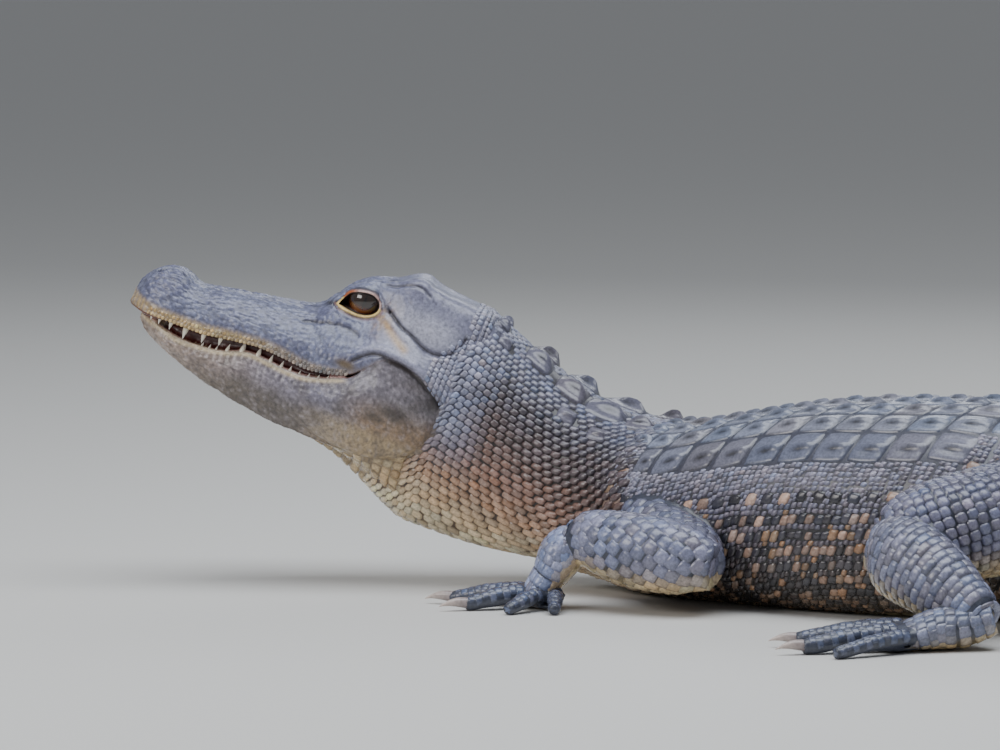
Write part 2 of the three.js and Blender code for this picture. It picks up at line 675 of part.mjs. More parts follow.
const SHANK_LEFT = [[[104, -175, 68], 15, 21], [[124, -181, 62], 27, 31], [[156, -188, 48], 27, 29],
  [[186, -195, 32], 20, 21], [[202, -199, 23], 16, 15]];
const THIGH_RIGHT = [[[192, 40, 84], 50, 42], [[180, 84, 86], 46, 42], [[158, 136, 80], 36, 39],
  [[138, 162, 72], 27, 33], [[126, 174, 67], 15, 21]];
const SHANK_RIGHT = [[[122, 173, 67], 15, 21], [[142, 178, 60], 27, 31], [[174, 184, 46], 27, 29],
  [[204, 190, 31], 20, 21], [[220, 194, 23], 16, 15]];

// Digits: degrees out from straight ahead, length, radius at the knuckle, clawed or not.
const FINGERS_LEFT = [[2, 64, 7.5, true], [16, 72, 8, true], [46, 60, 8, true], [82, 48, 7, false],
  [118, 38, 6.5, false]];
const FINGERS_RIGHT = [[12, 64, 7.5, true], [30, 74, 8, true], [54, 70, 8, true], [84, 54, 7, false],
  [116, 40, 6.5, false]];
const TOES_LEFT = [[6, 80, 9, true], [25, 94, 9.5, true], [45, 94, 9, true], [63, 84, 7, false]];
const TOES_RIGHT = [[4, 80, 9, true], [22, 94, 9.5, true], [41, 94, 9, true], [60, 84, 7, false]];

const HAND = { part: 'hand', palm: 30, halfWidth: 24, sole: 11, turn: 20, web: 0.3 };
const FOOT = { part: 'foot', palm: 46, halfWidth: 25, sole: 12, turn: 30, web: 0.62 };
const ARM_NAMES = ['upper_arm', 'forearm'];
const LEG_NAMES = ['thigh', 'shank'];
const LIMBS = [
  { side: 'left', names: ARM_NAMES, upper: UPPER_ARM_LEFT, lower: FOREARM_LEFT, end: HAND,
    digits: FINGERS_LEFT },
  { side: 'right', names: ARM_NAMES, upper: UPPER_ARM_RIGHT, lower: FOREARM_RIGHT, end: HAND,
    digits: FINGERS_RIGHT },
  { side: 'left', names: LEG_NAMES, upper: THIGH_LEFT, lower: SHANK_LEFT, end: FOOT, digits: TOES_LEFT },
  { side: 'right', names: LEG_NAMES, upper: THIGH_RIGHT, lower: SHANK_RIGHT, end: FOOT, digits: TOES_RIGHT },
];

const LIMB_SIDES = 10;
const LIMB_STEPS = 6;
const DIGIT_SIDES = 6;
const DIGIT_STEPS = 3;
const CLAW_LENGTH = 23;
const CLAW_ROOT = 5;
const CLAW_RADIUS = 4.4;
const WEB_LOW = 1.5;
const WEB_HIGH = 5;

// Level direction at an angle out from straight ahead, on the limb's own side.
function outward(limb, degrees) {
  const side = limb.side === 'left' ? -1 : 1;
  return [-Math.cos(degrees * DEGREE), side * Math.sin(degrees * DEGREE), 0];
}

// A digit runs from the palm to its tip on the floor.
function digitOf(limb, [degrees, length, radius, clawed]) {
  const along = outward(limb, degrees);
  const [x, y] = limb.lower[limb.lower.length - 1][0];
  const hub = add([x, y, limb.end.sole], outward(limb, limb.end.turn), limb.end.palm * 0.5);
  const root = add(hub, along, limb.end.palm * 0.4);
  const tip = add(root, along, length);
  return { along, root, tip: [tip[0], tip[1], radius * 0.62], radius, clawed };
}

function digitSolid({ root, tip, radius }) {
  const knuckle = add(mix(root, tip, 0.5), [0, 0, 1], radius * 0.35);
  return smoothTube([
    [root, radius * 1.1, radius * 1.1],
    [knuckle, radius, radius],
    [tip, radius * 0.68, radius * 0.62],
  ], DIGIT_STEPS, DIGIT_SIDES);
}

// A claw is set in the digit's end and curves down to the floor.
function clawSolid({ along, tip }, grow = 0) {
  const root = add(tip, along, -CLAW_ROOT);
  const crest = add(add(tip, along, CLAW_LENGTH * 0.45), [0, 0, 1], 1);
  const point = add([tip[0], tip[1], 0.9], along, CLAW_LENGTH);
  return tube([
    [root, CLAW_RADIUS * 0.8, CLAW_RADIUS * 0.85],
    [crest, CLAW_RADIUS * 0.62, CLAW_RADIUS * 0.7],
    [point, 0.5, 0.5],
  ], DIGIT_SIDES, grow).intersect(FLOOR_BLOCK);
}

// The web between two neighbouring digits, with a hollow front edge.
function webSolid(limb, first, second) {
  const reach = limb.end.web;
  const ends = [first, second].map(({ root, tip }) => mix(root, tip, reach));
  const hollow = mix(mix(first.root, second.root, 0.5), mix(ends[0], ends[1], 0.5), 0.75);
  return plate([first.root, ends[0], hollow, ends[1], second.root], WEB_LOW, WEB_HIGH);
}

function palmSolid(limb) {
  const { palm, halfWidth, sole, turn } = limb.end;
  const [joint, across, upward] = limb.lower[limb.lower.length - 1];
  const along = outward(limb, turn);
  const at = (share, z) => [...add(joint, along, palm * share).slice(0, 2), z];
  return smoothTube([
    [add(joint, along, -6), across * 0.8, upward * 0.8],
    [at(0.3, joint[2] - 6), across * 1.05, upward],
    [at(0.7, mix([joint[2]], [sole], 0.65)[0]), mix([across], [halfWidth], 0.6)[0], sole + 3],
    [at(1.05, sole), halfWidth, sole + 0.5],
    [at(1.35, sole - 3), halfWidth * 0.7, sole - 3],
  ], LIMB_STEPS + 1, LIMB_SIDES);
}

for (const limb of LIMBS) {
  const [upperName, lowerName] = limb.names.map((part) => `${part}_${limb.side}`);
  const endName = `${limb.end.part}_${limb.side}`;
  const upperGrown = smoothTube(limb.upper, LIMB_STEPS, LIMB_SIDES, GAP);
  const lowerGrown = smoothTube(limb.lower, LIMB_STEPS, LIMB_SIDES, GAP);
  const upper = smoothTube(limb.upper, LIMB_STEPS, LIMB_SIDES).subtract(trunkGrown);
  const lower = smoothTube(limb.lower, LIMB_STEPS, LIMB_SIDES).subtract(upperGrown).subtract(trunkGrown);
  place(upperName, upper.intersect(FLOOR_BLOCK), LIMB);
  place(lowerName, lower.intersect(FLOOR_BLOCK), LIMB);

  const digits = limb.digits.map((digit) => digitOf(limb, digit));
  const pieces = [palmSolid(limb), ...digits.map(digitSolid)];
  for (let i = 1; i < digits.length; i += 1) pieces.push(webSolid(limb, digits[i - 1], digits[i]));
  let end = joined(pieces).subtract(lowerGrown).subtract(upperGrown).subtract(trunkGrown)
    .intersect(FLOOR_BLOCK);
  digits.filter(({ clawed }) => clawed).forEach((digit, i) => {
    end = end.subtract(clawSolid(digit, GAP));
    place(`claw_${endName}_${i + 1}`, clawSolid(digit), HORN);
  });
  place(endName, end, LIMB);
}

export default model;
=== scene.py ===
# American alligator, a subadult about 1.8 m long, as a still museum model. It rests on its belly
# with the head raised and turned to the left. Lengths are in millimetres until a mesh is made.

import json
import math

import bpy
import numpy as np
from mathutils import Matrix, Vector, kdtree, noise

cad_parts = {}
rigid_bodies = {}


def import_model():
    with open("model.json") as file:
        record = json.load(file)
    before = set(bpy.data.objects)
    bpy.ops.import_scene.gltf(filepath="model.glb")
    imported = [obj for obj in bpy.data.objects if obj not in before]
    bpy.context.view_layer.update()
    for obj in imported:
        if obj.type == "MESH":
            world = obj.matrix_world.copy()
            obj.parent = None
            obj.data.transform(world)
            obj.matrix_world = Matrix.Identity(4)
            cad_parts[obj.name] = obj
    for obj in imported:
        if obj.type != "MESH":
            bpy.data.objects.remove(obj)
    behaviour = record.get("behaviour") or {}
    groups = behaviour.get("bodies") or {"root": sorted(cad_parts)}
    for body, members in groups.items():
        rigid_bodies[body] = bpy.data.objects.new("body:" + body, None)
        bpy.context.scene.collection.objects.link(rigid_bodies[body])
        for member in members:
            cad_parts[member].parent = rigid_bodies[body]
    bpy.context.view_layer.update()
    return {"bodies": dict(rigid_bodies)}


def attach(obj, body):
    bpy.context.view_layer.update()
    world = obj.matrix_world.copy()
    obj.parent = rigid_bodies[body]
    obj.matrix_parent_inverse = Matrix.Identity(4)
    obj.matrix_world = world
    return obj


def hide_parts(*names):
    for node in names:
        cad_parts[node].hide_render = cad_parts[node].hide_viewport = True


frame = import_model()

# Trunk, neck and tail: one long body of flesh and bone. Its sections are rounded boxes strung on
# an axis that bends at the neck and swings in an S along the tail.

TORSO_END = 570
TAIL_TIP = 1500
NECK_ROOT, ROOT_TAPER = 44, 16
HEAD_YAW = math.radians(28)
HEAD_PITCH = math.radians(22)
OCCIPUT = np.array([-344.7, -57.5, 200.6])
HEAD_REAR = -28
SCALE_DEPTH = 1.4


def spline(keys, values):
    """A smooth curve through values at rising keys; the values may have any shape."""
    keys = np.asarray(keys, float)
    values = np.asarray(values, float)
    slopes = np.empty_like(values)
    span = (keys[2:] - keys[:-2]).reshape(-1, *[1] * (values.ndim - 1))
    slopes[1:-1] = (values[2:] - values[:-2]) / span
    slopes[0] = (values[1] - values[0]) / (keys[1] - keys[0])
    slopes[-1] = (values[-1] - values[-2]) / (keys[-1] - keys[-2])

    def read(key):
        at = np.clip(np.asarray(key, float), keys[0], keys[-1])
        i = np.clip(np.searchsorted(keys, at, side="right") - 1, 0, len(keys) - 2)
        gap = keys[i + 1] - keys[i]
        t = ((at - keys[i]) / gap).reshape(*at.shape, *[1] * (values.ndim - 1))
        gap = gap.reshape(t.shape)
        return (
            (2 * t**3 - 3 * t**2 + 1) * values[i]
            + (t**3 - 2 * t**2 + t) * slopes[i] * gap
            + (3 * t**2 - 2 * t**3) * values[i + 1]
            + (t**3 - t**2) * slopes[i + 1] * gap
        )

    return read


def through(rows):
    """The same curve from rows of (key, value, ...); it gives one array for each column."""
    table = np.array(sorted(rows, key=lambda row: row[0]), float)
    read = spline(table[:, 0], table[:, 1:])

    def columns(key):
        out = np.moveaxis(read(key), -1, 0)
        return out[0] if len(out) == 1 else out

    return columns


def stack(*parts):
    return np.stack(np.broadcast_arrays(*parts), -1)


def directions(yaw, pitch):
    """Forward, left and up of a frame turned by yaw about Z and pitched up."""
    forward = stack(-np.cos(yaw) * np.cos(pitch), -np.sin(yaw) * np.cos(pitch), np.sin(pitch))
    left = stack(np.sin(yaw), -np.cos(yaw), np.zeros_like(yaw))
    return forward, left, -np.cross(left, forward)


HEAD_FORWARD, HEAD_LEFT, HEAD_UP = directions(np.float64(HEAD_YAW), np.float64(HEAD_PITCH))


def in_head(forward, left, up):
    """Points of the scene from lengths along the head's own three directions."""
    return (
        OCCIPUT
        + np.asarray(forward)[..., None] * HEAD_FORWARD
        + np.asarray(left)[..., None] * HEAD_LEFT
        + np.asarray(up)[..., None] * HEAD_UP
    )


def placed(local):
    return in_head(local[..., 0], local[..., 1], local[..., 2])


NECK_START = in_head(HEAD_REAR - 0.3, 0, 0)

axis_place = through([
    (0, *NECK_START, 28, 22),
    (40, -287, -31, 150, 21.5, 18.5),
    (80, -250, -18.5, 110, 15, 14),
    (120, -212, -6.5, 88, 7.5, 7.5),
    (160, -175, 0, 70, 0, 0),
    (240, -95, 0, 70, 0, 0),
    (335, 0, 0, 70, 0, 0),
    (450, 115, 0, 70, 0, 0),
    (570, 235, 0, 70, 0, 0),
])
tail_yaw = through([
    (570, 0), (670, 9), (820, 26), (970, 37), (1090, 34), (1220, 19), (1350, 0), (1500, -16),
])
tail_height = through([
    (570, 70), (630, 62), (720, 52), (870, 43), (1020, 35), (1170, 27.5), (1320, 18.5), (1440, 9.5),
    (1500, 3.5),
])
# Reach above and below the middle, height of the widest line, half width, roundness.
section = through([
    (0, 30, 152, -58, 59, 2.3, 1.9),
    (40, 36, 125, -36, 61, 2.2, 2.1),
    (80, 46, 92, -22, 68, 2.2, 2.2),
    (120, 50, 81, -12, 79, 2.3, 2.3),
    (160, 62, 71, -8, 89, 2.4, 2.5),
    (200, 66, 73, -9, 96, 2.5, 2.6),
    (241, 73, 74, -9, 102, 2.5, 2.7),
    (285, 81, 75, -8, 107, 2.5, 2.7),
    (335, 87, 75, -7, 110, 2.5, 2.7),
    (392, 90, 75, -5, 109, 2.4, 2.6),
    (450, 92, 74, -3, 103, 2.4, 2.5),
    (500, 89, 72, 0, 92, 2.3, 2.3),
    (540, 83, 71, 2, 80, 2.3, 2.2),
    (570, 76, 71, 3, 71, 2.3, 2.2),
    (630, 66, 63, 2, 60, 2.3, 2.2),
    (720, 56, 53.5, 0, 49, 2.3, 2.2),
    (870, 45, 44.5, -3, 36, 2.2, 2.3),
    (1020, 37, 36.5, -4, 26, 2.1, 2.3),
    (1170, 28.5, 29, -4, 17, 2.0, 2.3),
    (1320, 19.5, 20, -3, 10, 2.0, 2.2),
    (1440, 10.5, 11, -2, 5.5, 2.0, 2.2),
    (1500, 3, 5, -1, 2.5, 2.0, 2.0),
])

TAIL_STEP = 10
tail_stations = np.arange(TORSO_END, TAIL_TIP + 1, TAIL_STEP)
step_yaw = np.radians(tail_yaw(tail_stations[:-1] + TAIL_STEP / 2))
tail_x = 235 + np.concatenate([[0], np.cumsum(np.cos(step_yaw) * TAIL_STEP)])
tail_y = np.concatenate([[0], np.cumsum(np.sin(step_yaw) * TAIL_STEP)])


def body_frame(along):
    """The place and the left, up and forward directions of the body's axis."""
    along = np.asarray(along, float)
    x, y, z, yaw, pitch = axis_place(np.clip(along, 0, TORSO_END))
    behind = along > TORSO_END
    x = np.where(behind, np.interp(along, tail_stations, tail_x), x)
    y = np.where(behind, np.interp(along, tail_stations, tail_y), y)
    z = np.where(behind, tail_height(along), z)
    yaw = np.where(behind, tail_yaw(along), yaw)
    pitch = np.where(behind, 0, pitch)
    forward, left, up = directions(np.radians(yaw), np.radians(pitch))
    place = stack(x, y, z) + np.minimum(along, 0)[..., None] * -HEAD_FORWARD
    return place, forward, left, up


def body_point(along, angle, grow=0):
    """A point of the body; the angle is 0 on the back and grows towards the left side."""
    along, angle, grow = np.broadcast_arrays(np.asarray(along, float), angle, grow)
    grow = grow - ROOT_TAPER * (np.maximum(-along, 0) / NECK_ROOT) ** 1.5
    top, bottom, widest, half, top_round, bottom_round = section(along)
    upper = np.cos(angle) >= 0
    power = 2 / np.where(upper, top_round, bottom_round)
    side = np.sign(np.sin(angle)) * np.abs(np.sin(angle)) ** power
    rise = np.abs(np.cos(angle)) ** power
    reach = np.where(upper, top - widest + grow, -(bottom + widest + grow))
    place, forward, left, up = body_frame(along)
    across = side * (half + grow)
    height = widest + rise * reach
    return place + left * across[..., None] + up * height[..., None]


def back_angle(along, across):
    """The angle at which the back lies this far out from the middle line."""
    half, top_round = section(along)[3:5]
    share = np.minimum(np.abs(across) / half, 0.98)
    return np.sign(across) * np.arcsin(share ** (top_round / 2))


def quads_between(start, end, around):
    """Faces from each ring of points to the next, by the number of each ring's first point."""
    ring = np.arange(around)
    following = (ring + 1) % around
    corners = [start + ring, start + following, end + following, end + ring]
    return np.stack(corners, -1).reshape(-1, 4).tolist()


def loft(rings):
    """Points and faces of a tube through rings of points, closed at its ends."""
    count, around = rings.shape[:2]
    points = rings.reshape(-1, 3)
    start = (np.arange(count - 1) * around)[:, None]
    faces = quads_between(start, start + around, around)
    first, last = len(points), (count - 1) * around
    faces += [[first, (i + 1) % around, i] for i in range(around)]
    faces += [[first + 1, last + i, last + (i + 1) % around] for i in range(around)]
    return np.concatenate([points, [rings[0].mean(0), rings[-1].mean(0)]]), faces


body_stations = np.concatenate([
    np.arange(-NECK_ROOT, 0, 4.0), np.arange(0, TORSO_END, 5.0), np.arange(TORSO_END, TAIL_TIP - 5, 7.5),
    [TAIL_TIP],
])
body_angles = np.linspace(0, 2 * math.pi, 88, endpoint=False)
body_rings = body_point(body_stations[:, None], body_angles[None, :], -SCALE_DEPTH)
skin_parts = {"body": loft(body_rings)}
BODY = next(iter(frame["bodies"]))

# Head: skull with its upper jaw, and the lower jaw, in bone close under thin skin. Both are lofted
# forward from the neck; the folds, ear slit, nostrils and wrinkles are pressed into the surface.

crown = through([
    (238, -61), (236, -52), (230, -43), (222, -36.5), (212, -33.5), (200, -33.5), (192, -37.5),
    (184, -36.5), (172, -33.5), (142, -27.5), (124, -24), (98, -17.5), (88, -12), (78, -4), (68, 4),
    (56, 13), (48, 21), (40, 26.5), (28, 30.5), (18, 28.5), (8, 27), (-9, 27.5), (-28, 28.5),
])
# Edge of the brow and of the skull table: out from the middle, then up.
brow_edge = through([
    (238, 1.2, -62), (230, 12, -44.5), (212, 19, -36), (192, 19, -40), (172, 20, -37), (142, 21, -31),
    (124, 22, -27), (98, 20, -19), (86, 21, -1), (77, 23, 10), (68, 25, 16), (56, 28, 19.5), (47, 31.5, 22),
    (35, 34.5, 29.5), (27, 35.5, 31), (18, 36.5, 27.5), (10, 37, 26), (0, 37, 25), (-14, 37, 24),
    (-28, 36, 22.5),
])
# Side of the face at the height of the eye and ear.
face_side = through([
    (238, 2, -64), (230, 18, -52), (212, 26, -46), (192, 29, -48), (172, 31.5, -45), (142, 34, -39),
    (124, 36, -36), (98, 36, -30), (86, 36, -19), (77, 36.5, -13), (65, 36.5, -12), (54, 39, -9),
    (45, 41, -3), (30, 45, -6), (20, 47, -9), (5, 50, -14), (-10, 51, -14), (-28, 49, -17),
])
# The cheek, above the upper lip.
cheek = through([
    (238, 2.6, -68), (230, 20.5, -62), (212, 30.5, -60), (192, 33.5, -60), (172, 36.5, -57),
    (142, 42, -52), (124, 45, -50), (98, 49, -48), (86, 51, -46), (65, 55, -42), (54, 57, -38),
    (45, 58.5, -33), (30, 61, -25), (20, 62, -25), (5, 63, -27), (-10, 61, -33), (-28, 55, -42),
])
# The upper lip's edge; behind the corner of the mouth it is the fold of the cheek.
upper_lip = through([
    (238, 3, -72), (236, 11, -73), (232, 18, -73.5), (225, 25, -74), (215, 30, -74), (205, 33, -73.5),
    (192, 34.5, -73), (175, 37.5, -72), (158, 40.5, -69), (142, 43, -66), (128, 45.5, -64),
    (113, 48, -64), (88, 52, -65), (76, 54, -63), (65, 55.5, -60), (53, 57.5, -55), (44, 59, -46),
    (36, 60.5, -37), (28, 61.5, -33), (20, 62, -33.5), (5, 62.5, -36.5), (-10, 60, -43.5),
    (-20, 57, -50), (-28, 53, -56),
])
# The lower jaw: lip, jowl, lower edge, side of the throat and its middle line.
lower_lip = through([
    (226, 3, -77), (224, 10, -77.5), (219, 17, -78), (212, 22.5, -79), (202, 27.5, -81), (190, 31, -83),
    (171, 34, -81), (154, 38, -78), (136, 42, -71.5), (121, 45, -71), (106, 47.5, -72), (88, 51, -71),
    (74, 53.5, -67), (60, 56, -61), (51, 58, -56.3), (44, 59.2, -46.3), (36, 60.7, -37.3), (28, 61.8, -33.3),
    (20, 62.4, -33.8), (5, 63, -36.8), (-10, 60.5, -43.8), (-20, 57, -50.3), (-28, 52, -56.3),
])
jowl = through([
    (226, 3, -79), (219, 17.5, -82), (202, 28, -89), (190, 31.5, -91), (171, 35, -92), (154, 39.5, -92),
    (121, 46.5, -91), (88, 53, -90), (60, 59, -84), (40, 63, -76), (20, 66, -70), (5, 66.5, -69),
    (-10, 62.5, -71), (-20, 57, -75), (-28, 48, -78),
])
jaw_edge = through([
    (226, 2, -81), (221, 11, -86), (214, 16, -90), (195, 22, -97), (174, 26, -103), (154, 29.5, -107.5),
    (133, 33, -111), (94, 40, -115), (65, 45, -117), (38, 49, -115), (11, 51, -111), (-5, 50, -106),
    (-18, 46, -101), (-28, 40, -99),
])
throat_side = through([
    (226, 1, -81.5), (214, 8, -91), (195, 13, -98.5), (154, 19, -109), (94, 28, -116.5), (65, 34, -118),
    (38, 37, -119), (11, 38, -124), (-5, 37, -129), (-28, 34, -134),
])
throat_line = through([
    (226, -82), (221, -86.5), (214, -91), (195, -98), (174, -104), (154, -109), (133, -113), (94, -117),
    (65, -119), (46, -123), (25, -131), (3, -140), (-21, -151), (-28, -153.5),
])

EYE_PLACE = (65, 24.5, 0.5)
EYE_RADIUS = 13.5
MOUTH_CORNER = 50
# The opening between the lids and the folds of the face, seen from the side: forward, up.
EYE_OPENING = [(83.5, -9.5), (79, 0.5), (74, 4.4), (67, 6.8), (60, 6.8), (54.5, 3), (53.5, -3),
               (58, -8), (66, -10.5), (75, -10.5)]
EAR_SLIT = [(47, 2), (41, -1), (31, -6.5), (21, -9.5), (8, -15), (-4, -15.5), (-13, -11), (-18, -3),
            (-20, 5)]
EAR_RIM = [(44, -6), (22, -15), (5, -21), (-10, -19)]
TABLE_EDGE = [(54, 18), (46, 20.5), (36, 26), (27, 27), (19, 23.5)]
NOSTRIL = [(203, 16.5), (208, 12), (214, 10.5), (220, 12), (223, 15.5)]
UNDER_EYE = [(104, -32), (92, -28), (80, -24.5), (70, -23.5), (60, -25)]
FRONT_OF_EYE = [(104, -19), (96, -15), (90, -12), (84, -9.5)]
JOWL_EDGE = [(100, -100), (75, -106), (53, -109.8), (20, -110), (-3, -102), (-16, -92), (-23, -72),
             (-24, -55), (-22, -45)]
JOWL = [*JOWL_EDGE, (60, -30), (110, -60)]
CHEEK_FOLD = [(56, -44), (48, -36), (40, -32), (28, -32.5), (14, -34), (2, -38), (-10, -44),
              (-22, -52)]
ABOVE_FOLD = [(x, z + 5) for x, z in CHEEK_FOLD]


def across_head(lines, keys):
    """Points of half sections through lines of (out, up), read at keys that count the lines."""
    controls = np.array([np.stack(np.broadcast_arrays(out, up), -1) for out, up in lines])
    return spline(np.arange(len(lines)), controls)(keys)


def folded(stations, half):
    """Half sections (key, station, out and up) and their mirror images, as rings in head lengths."""
    left = half.transpose(1, 0, 2)
    ring = np.concatenate([left, left[:, -2:0:-1] * [-1, 1]], 1)
    return np.concatenate([np.broadcast_to(stations[:, None, None], (*ring.shape[:2], 1)), ring], -1)


def outwards(rings):
    """Unit normals of a grid of rings, pointing away from the middle of each ring."""
    along = np.gradient(rings, axis=0)
    around = np.roll(rings, -1, 1) - np.roll(rings, 1, 1)
    normal = np.cross(along, around)
    normal /= np.linalg.norm(normal, axis=-1, keepdims=True) + 1e-9
    away = rings - rings.mean(1, keepdims=True)
    turn = np.sign((normal * away).sum((0, 1, 2)))
    return normal * turn


def line_distance(x, z, line):
    """Distance in the side view to a line through points, smoothed into a curve."""
    line = np.asarray(line, float)
    curve = spline(np.arange(len(line)), line)(np.linspace(0, len(line) - 1, 5 * len(line)))
    best = np.full(np.shape(x), 1e9)
    for (x0, z0), (x1, z1) in zip(curve[:-1], curve[1:]):
        dx, dz = x1 - x0, z1 - z0
        t = np.clip(((x - x0) * dx + (z - z0) * dz) / (dx * dx + dz * dz), 0, 1)
        best = np.minimum(best, np.hypot(x - x0 - t * dx, z - z0 - t * dz))
    return best


def near_line(x, z, line, reach):
    """1 on a line of the side view and 0 past its reach."""
    return np.exp(-(line_distance(x, z, line) / reach) ** 2)


def inside_outline(x, z, outline):
    """True inside a closed outline of points."""
    inside = np.zeros(np.shape(x), bool)
    previous = outline[-1]
    for corner in outline:
        (x0, z0), (x1, z1) = previous, corner
        crosses = (z0 > z) != (z1 > z)
        run = x0 + (z - z0) * (x1 - x0) / (z1 - z0 + 1e-9)
        inside ^= crosses & (x < run)
        previous = corner
    return inside


def ease(value, start, end):
    """0 before start and 1 after end, with soft ends."""
    t = np.clip((value - start) / (end - start), 0, 1)
    return t * t * (3 - 2 * t)


def grain(points, size, seed=0):
    """Smooth noise from -1 to 1 at points, with patches of about this size."""
    shifted = (points / size + seed * 17.31).tolist()
    return np.array([noise.noise(Vector(p)) for p in shifted])


def pebbles(points, size):
    """From 0 in the grooves between pebbles of about this size to 1 on top of them."""
    flat = (np.asarray(points, float) / size).reshape(-1, 3)
    gaps = [noise.voronoi(Vector(spot))[0] for spot in flat]
    reach = np.array([near[1] - near[0] for near in gaps])
    return ease(reach, 0.02, 0.42).reshape(np.shape(points)[:-1])


def grain_on(rings, size, seed=0):
    return grain(rings.reshape(-1, 3), size, seed).reshape(rings.shape[:2])


lid_outline = spline(np.arange(len(EYE_OPENING) + 1), np.array([*EYE_OPENING, EYE_OPENING[0]], float))(
    np.linspace(0, len(EYE_OPENING), 100, endpoint=False))


def eyeball_side(x, z):
    """How far out the eyeball lies in the side view; past its edge it falls away evenly."""
    reach = np.hypot(x - EYE_PLACE[0], z - EYE_PLACE[2]) / EYE_RADIUS
    ball = np.sqrt(1 - np.minimum(reach, 0.75) ** 2)
    return EYE_PLACE[1] + EYE_RADIUS * (ball - 1.134 * np.maximum(reach - 0.75, 0))


def face_out(x, z):
    """How far out the side of the face lies, from the brow down to the lip."""
    x, z = np.broadcast_arrays(x, z)
    stations = x.ravel()
    profiles = [brow_edge(stations), face_side(stations), cheek(stations), upper_lip(stations)]
    lines = across_head(profiles, np.linspace(0, 3, 40))
    return np.array([np.interp(-height, -column[:, 1], column[:, 0])
                     for height, column in zip(z.ravel(), lines.transpose(1, 0, 2))]).reshape(x.shape)


def lid_gap(x, z):
    """Distance in the side view from the edge of the lids; it is negative in the opening."""
    gap = line_distance(x, z, [*EYE_OPENING, EYE_OPENING[0]])
    return np.where(inside_outline(x, z, lid_outline), -gap, gap)


def lid_out(x, z, out, gap):
    """How far out the lids lie: over the eyeball at their edge, and down to the face past it."""
    fold = 1.0 * np.exp(-((gap - 5.4) / 1.5) ** 2) - 0.5 * np.exp(-((gap - 3.3) / 0.7) ** 2)
    rim = 1.5 * np.exp(-(np.maximum(np.abs(gap - 1.1) - 0.5, 0) / 0.8) ** 2)
    lid = np.maximum(out - 1, eyeball_side(x, z) + 0.3) + rim + fold
    return out + (lid - out) * (1 - ease(gap, 2.5, 9))


def with_lids(rings, on_face):
    """Raises the lids round the eyeball and opens the socket between them."""
    x, z = rings[..., 0], rings[..., 2]
    out = np.abs(rings[..., 1])
    gap = lid_gap(x, z)
    lid = np.where(gap < 1.6, eyeball_side(x, z) - 4, lid_out(x, z, out, gap) - 0.35 * (gap < 5))
    share = on_face * (gap < 9) * ease(brow_edge(x)[1] - z, -0.5, 1.6)
    rings[..., 1] = np.sign(rings[..., 1]) * (out + (lid - out) * share)
    return rings


def pressed(rings, outer):
    """Presses the slits, folds and fine wrinkles of the head into its surface."""
    x, z = rings[..., 0], rings[..., 2]
    side = outer * (np.abs(rings[..., 1]) > 15)
    flap = np.exp(-(((x - 14) / 27) ** 2 + ((z + 1 - (x - 14) * 0.25) / 13) ** 2) ** 1.5)
    depth = 2.2 * flap
    for line, height, reach in ((EAR_SLIT, -3, 1.3), (EAR_RIM, 1, 2.2), (TABLE_EDGE, -1.3, 1.3),
                                (UNDER_EYE, -1.5, 1.5), (FRONT_OF_EYE, -1.6, 1.4),
                                (CHEEK_FOLD, -2.2, 1.7), (ABOVE_FOLD, 1.6, 3.2)):
        depth = depth + height * near_line(x, z, line, reach)
    depth *= side
    ridge = 0.9 * np.exp(-((np.abs(rings[..., 1]) - 15) / 2.5) ** 2) * ease(x, 84, 92) * ease(-x, -118, -104)
    depth += ridge * outer * (z > crown(x) - 8)
    coarse = grain_on(rings, 14, 1)
    fine = grain_on(rings, 4.2, 2)
    cracks = np.abs(grain_on(rings, 7.5, 3))
    snout = ease(x, 40, 100)
    cracked = (0.35 + 0.35 * snout) * (np.minimum(cracks, 0.12) / 0.12 - 1)
    depth += outer * (0.55 * coarse + 0.22 * fine + cracked)
    pebbled = 0.15 + 0.85 * ease(x + 12 * coarse, 45, 95)
    depth += outer * 0.6 * pebbled * (pebbles(rings, 4.8) - 0.7)
    return rings + outwards(rings) * depth[..., None]


def with_nostrils(rings):
    """Sinks the two crescent nostrils into the bump on the snout's end."""
    x, out = rings[..., 0], np.abs(rings[..., 1])
    line = line_distance(x, out, NOSTRIL)
    on_top = rings[..., 2] > crown(x) - 9
    rings[..., 2] -= on_top * 5.5 * np.exp(-(line / 1.7) ** 2)
    rings[..., 2] += on_top * 1.3 * np.exp(-((line - 4) / 2) ** 2)
    return rings


REAR_STEPS = np.array([-4.0, -8.0, -11.0])
REAR_SIZES = (0.965, 0.88, 0.74)


def rounded_off(rings):
    """Rounds the rear end of the head's lengths, which sinks into the neck."""
    last = rings[-1]
    centre = last.mean(0)
    ends = [centre + (last - centre) * size + [step, 0, 0] for step, size in zip(REAR_STEPS, REAR_SIZES)]
    return np.concatenate([rings, ends])


tip = np.concatenate([[238, 237.9, 237.6], np.arange(237.1, 223, -0.75)])
skull_stations = np.concatenate([
    tip, np.arange(222, 92, -1.7), np.arange(92, 46, -0.9), np.arange(46, HEAD_REAR, -1.6), [HEAD_REAR],
])
skull_keys = np.concatenate([
    np.linspace(0, 1, 17)[:-1], np.linspace(1, 2, 33)[:-1], np.linspace(2, 3, 23)[:-1], np.linspace(3, 4, 15),
])
flat = np.zeros_like(skull_stations)


def gum_lines(lip, steps):
    """Lines of the mouth's edge: each a step in from the lip, a share of what is left, and a rise."""
    out, up = lip
    return np.array([stack(np.maximum(out - step, out * (1 - step / 8)) * share, up + rise)
                     for step, share, rise in steps])


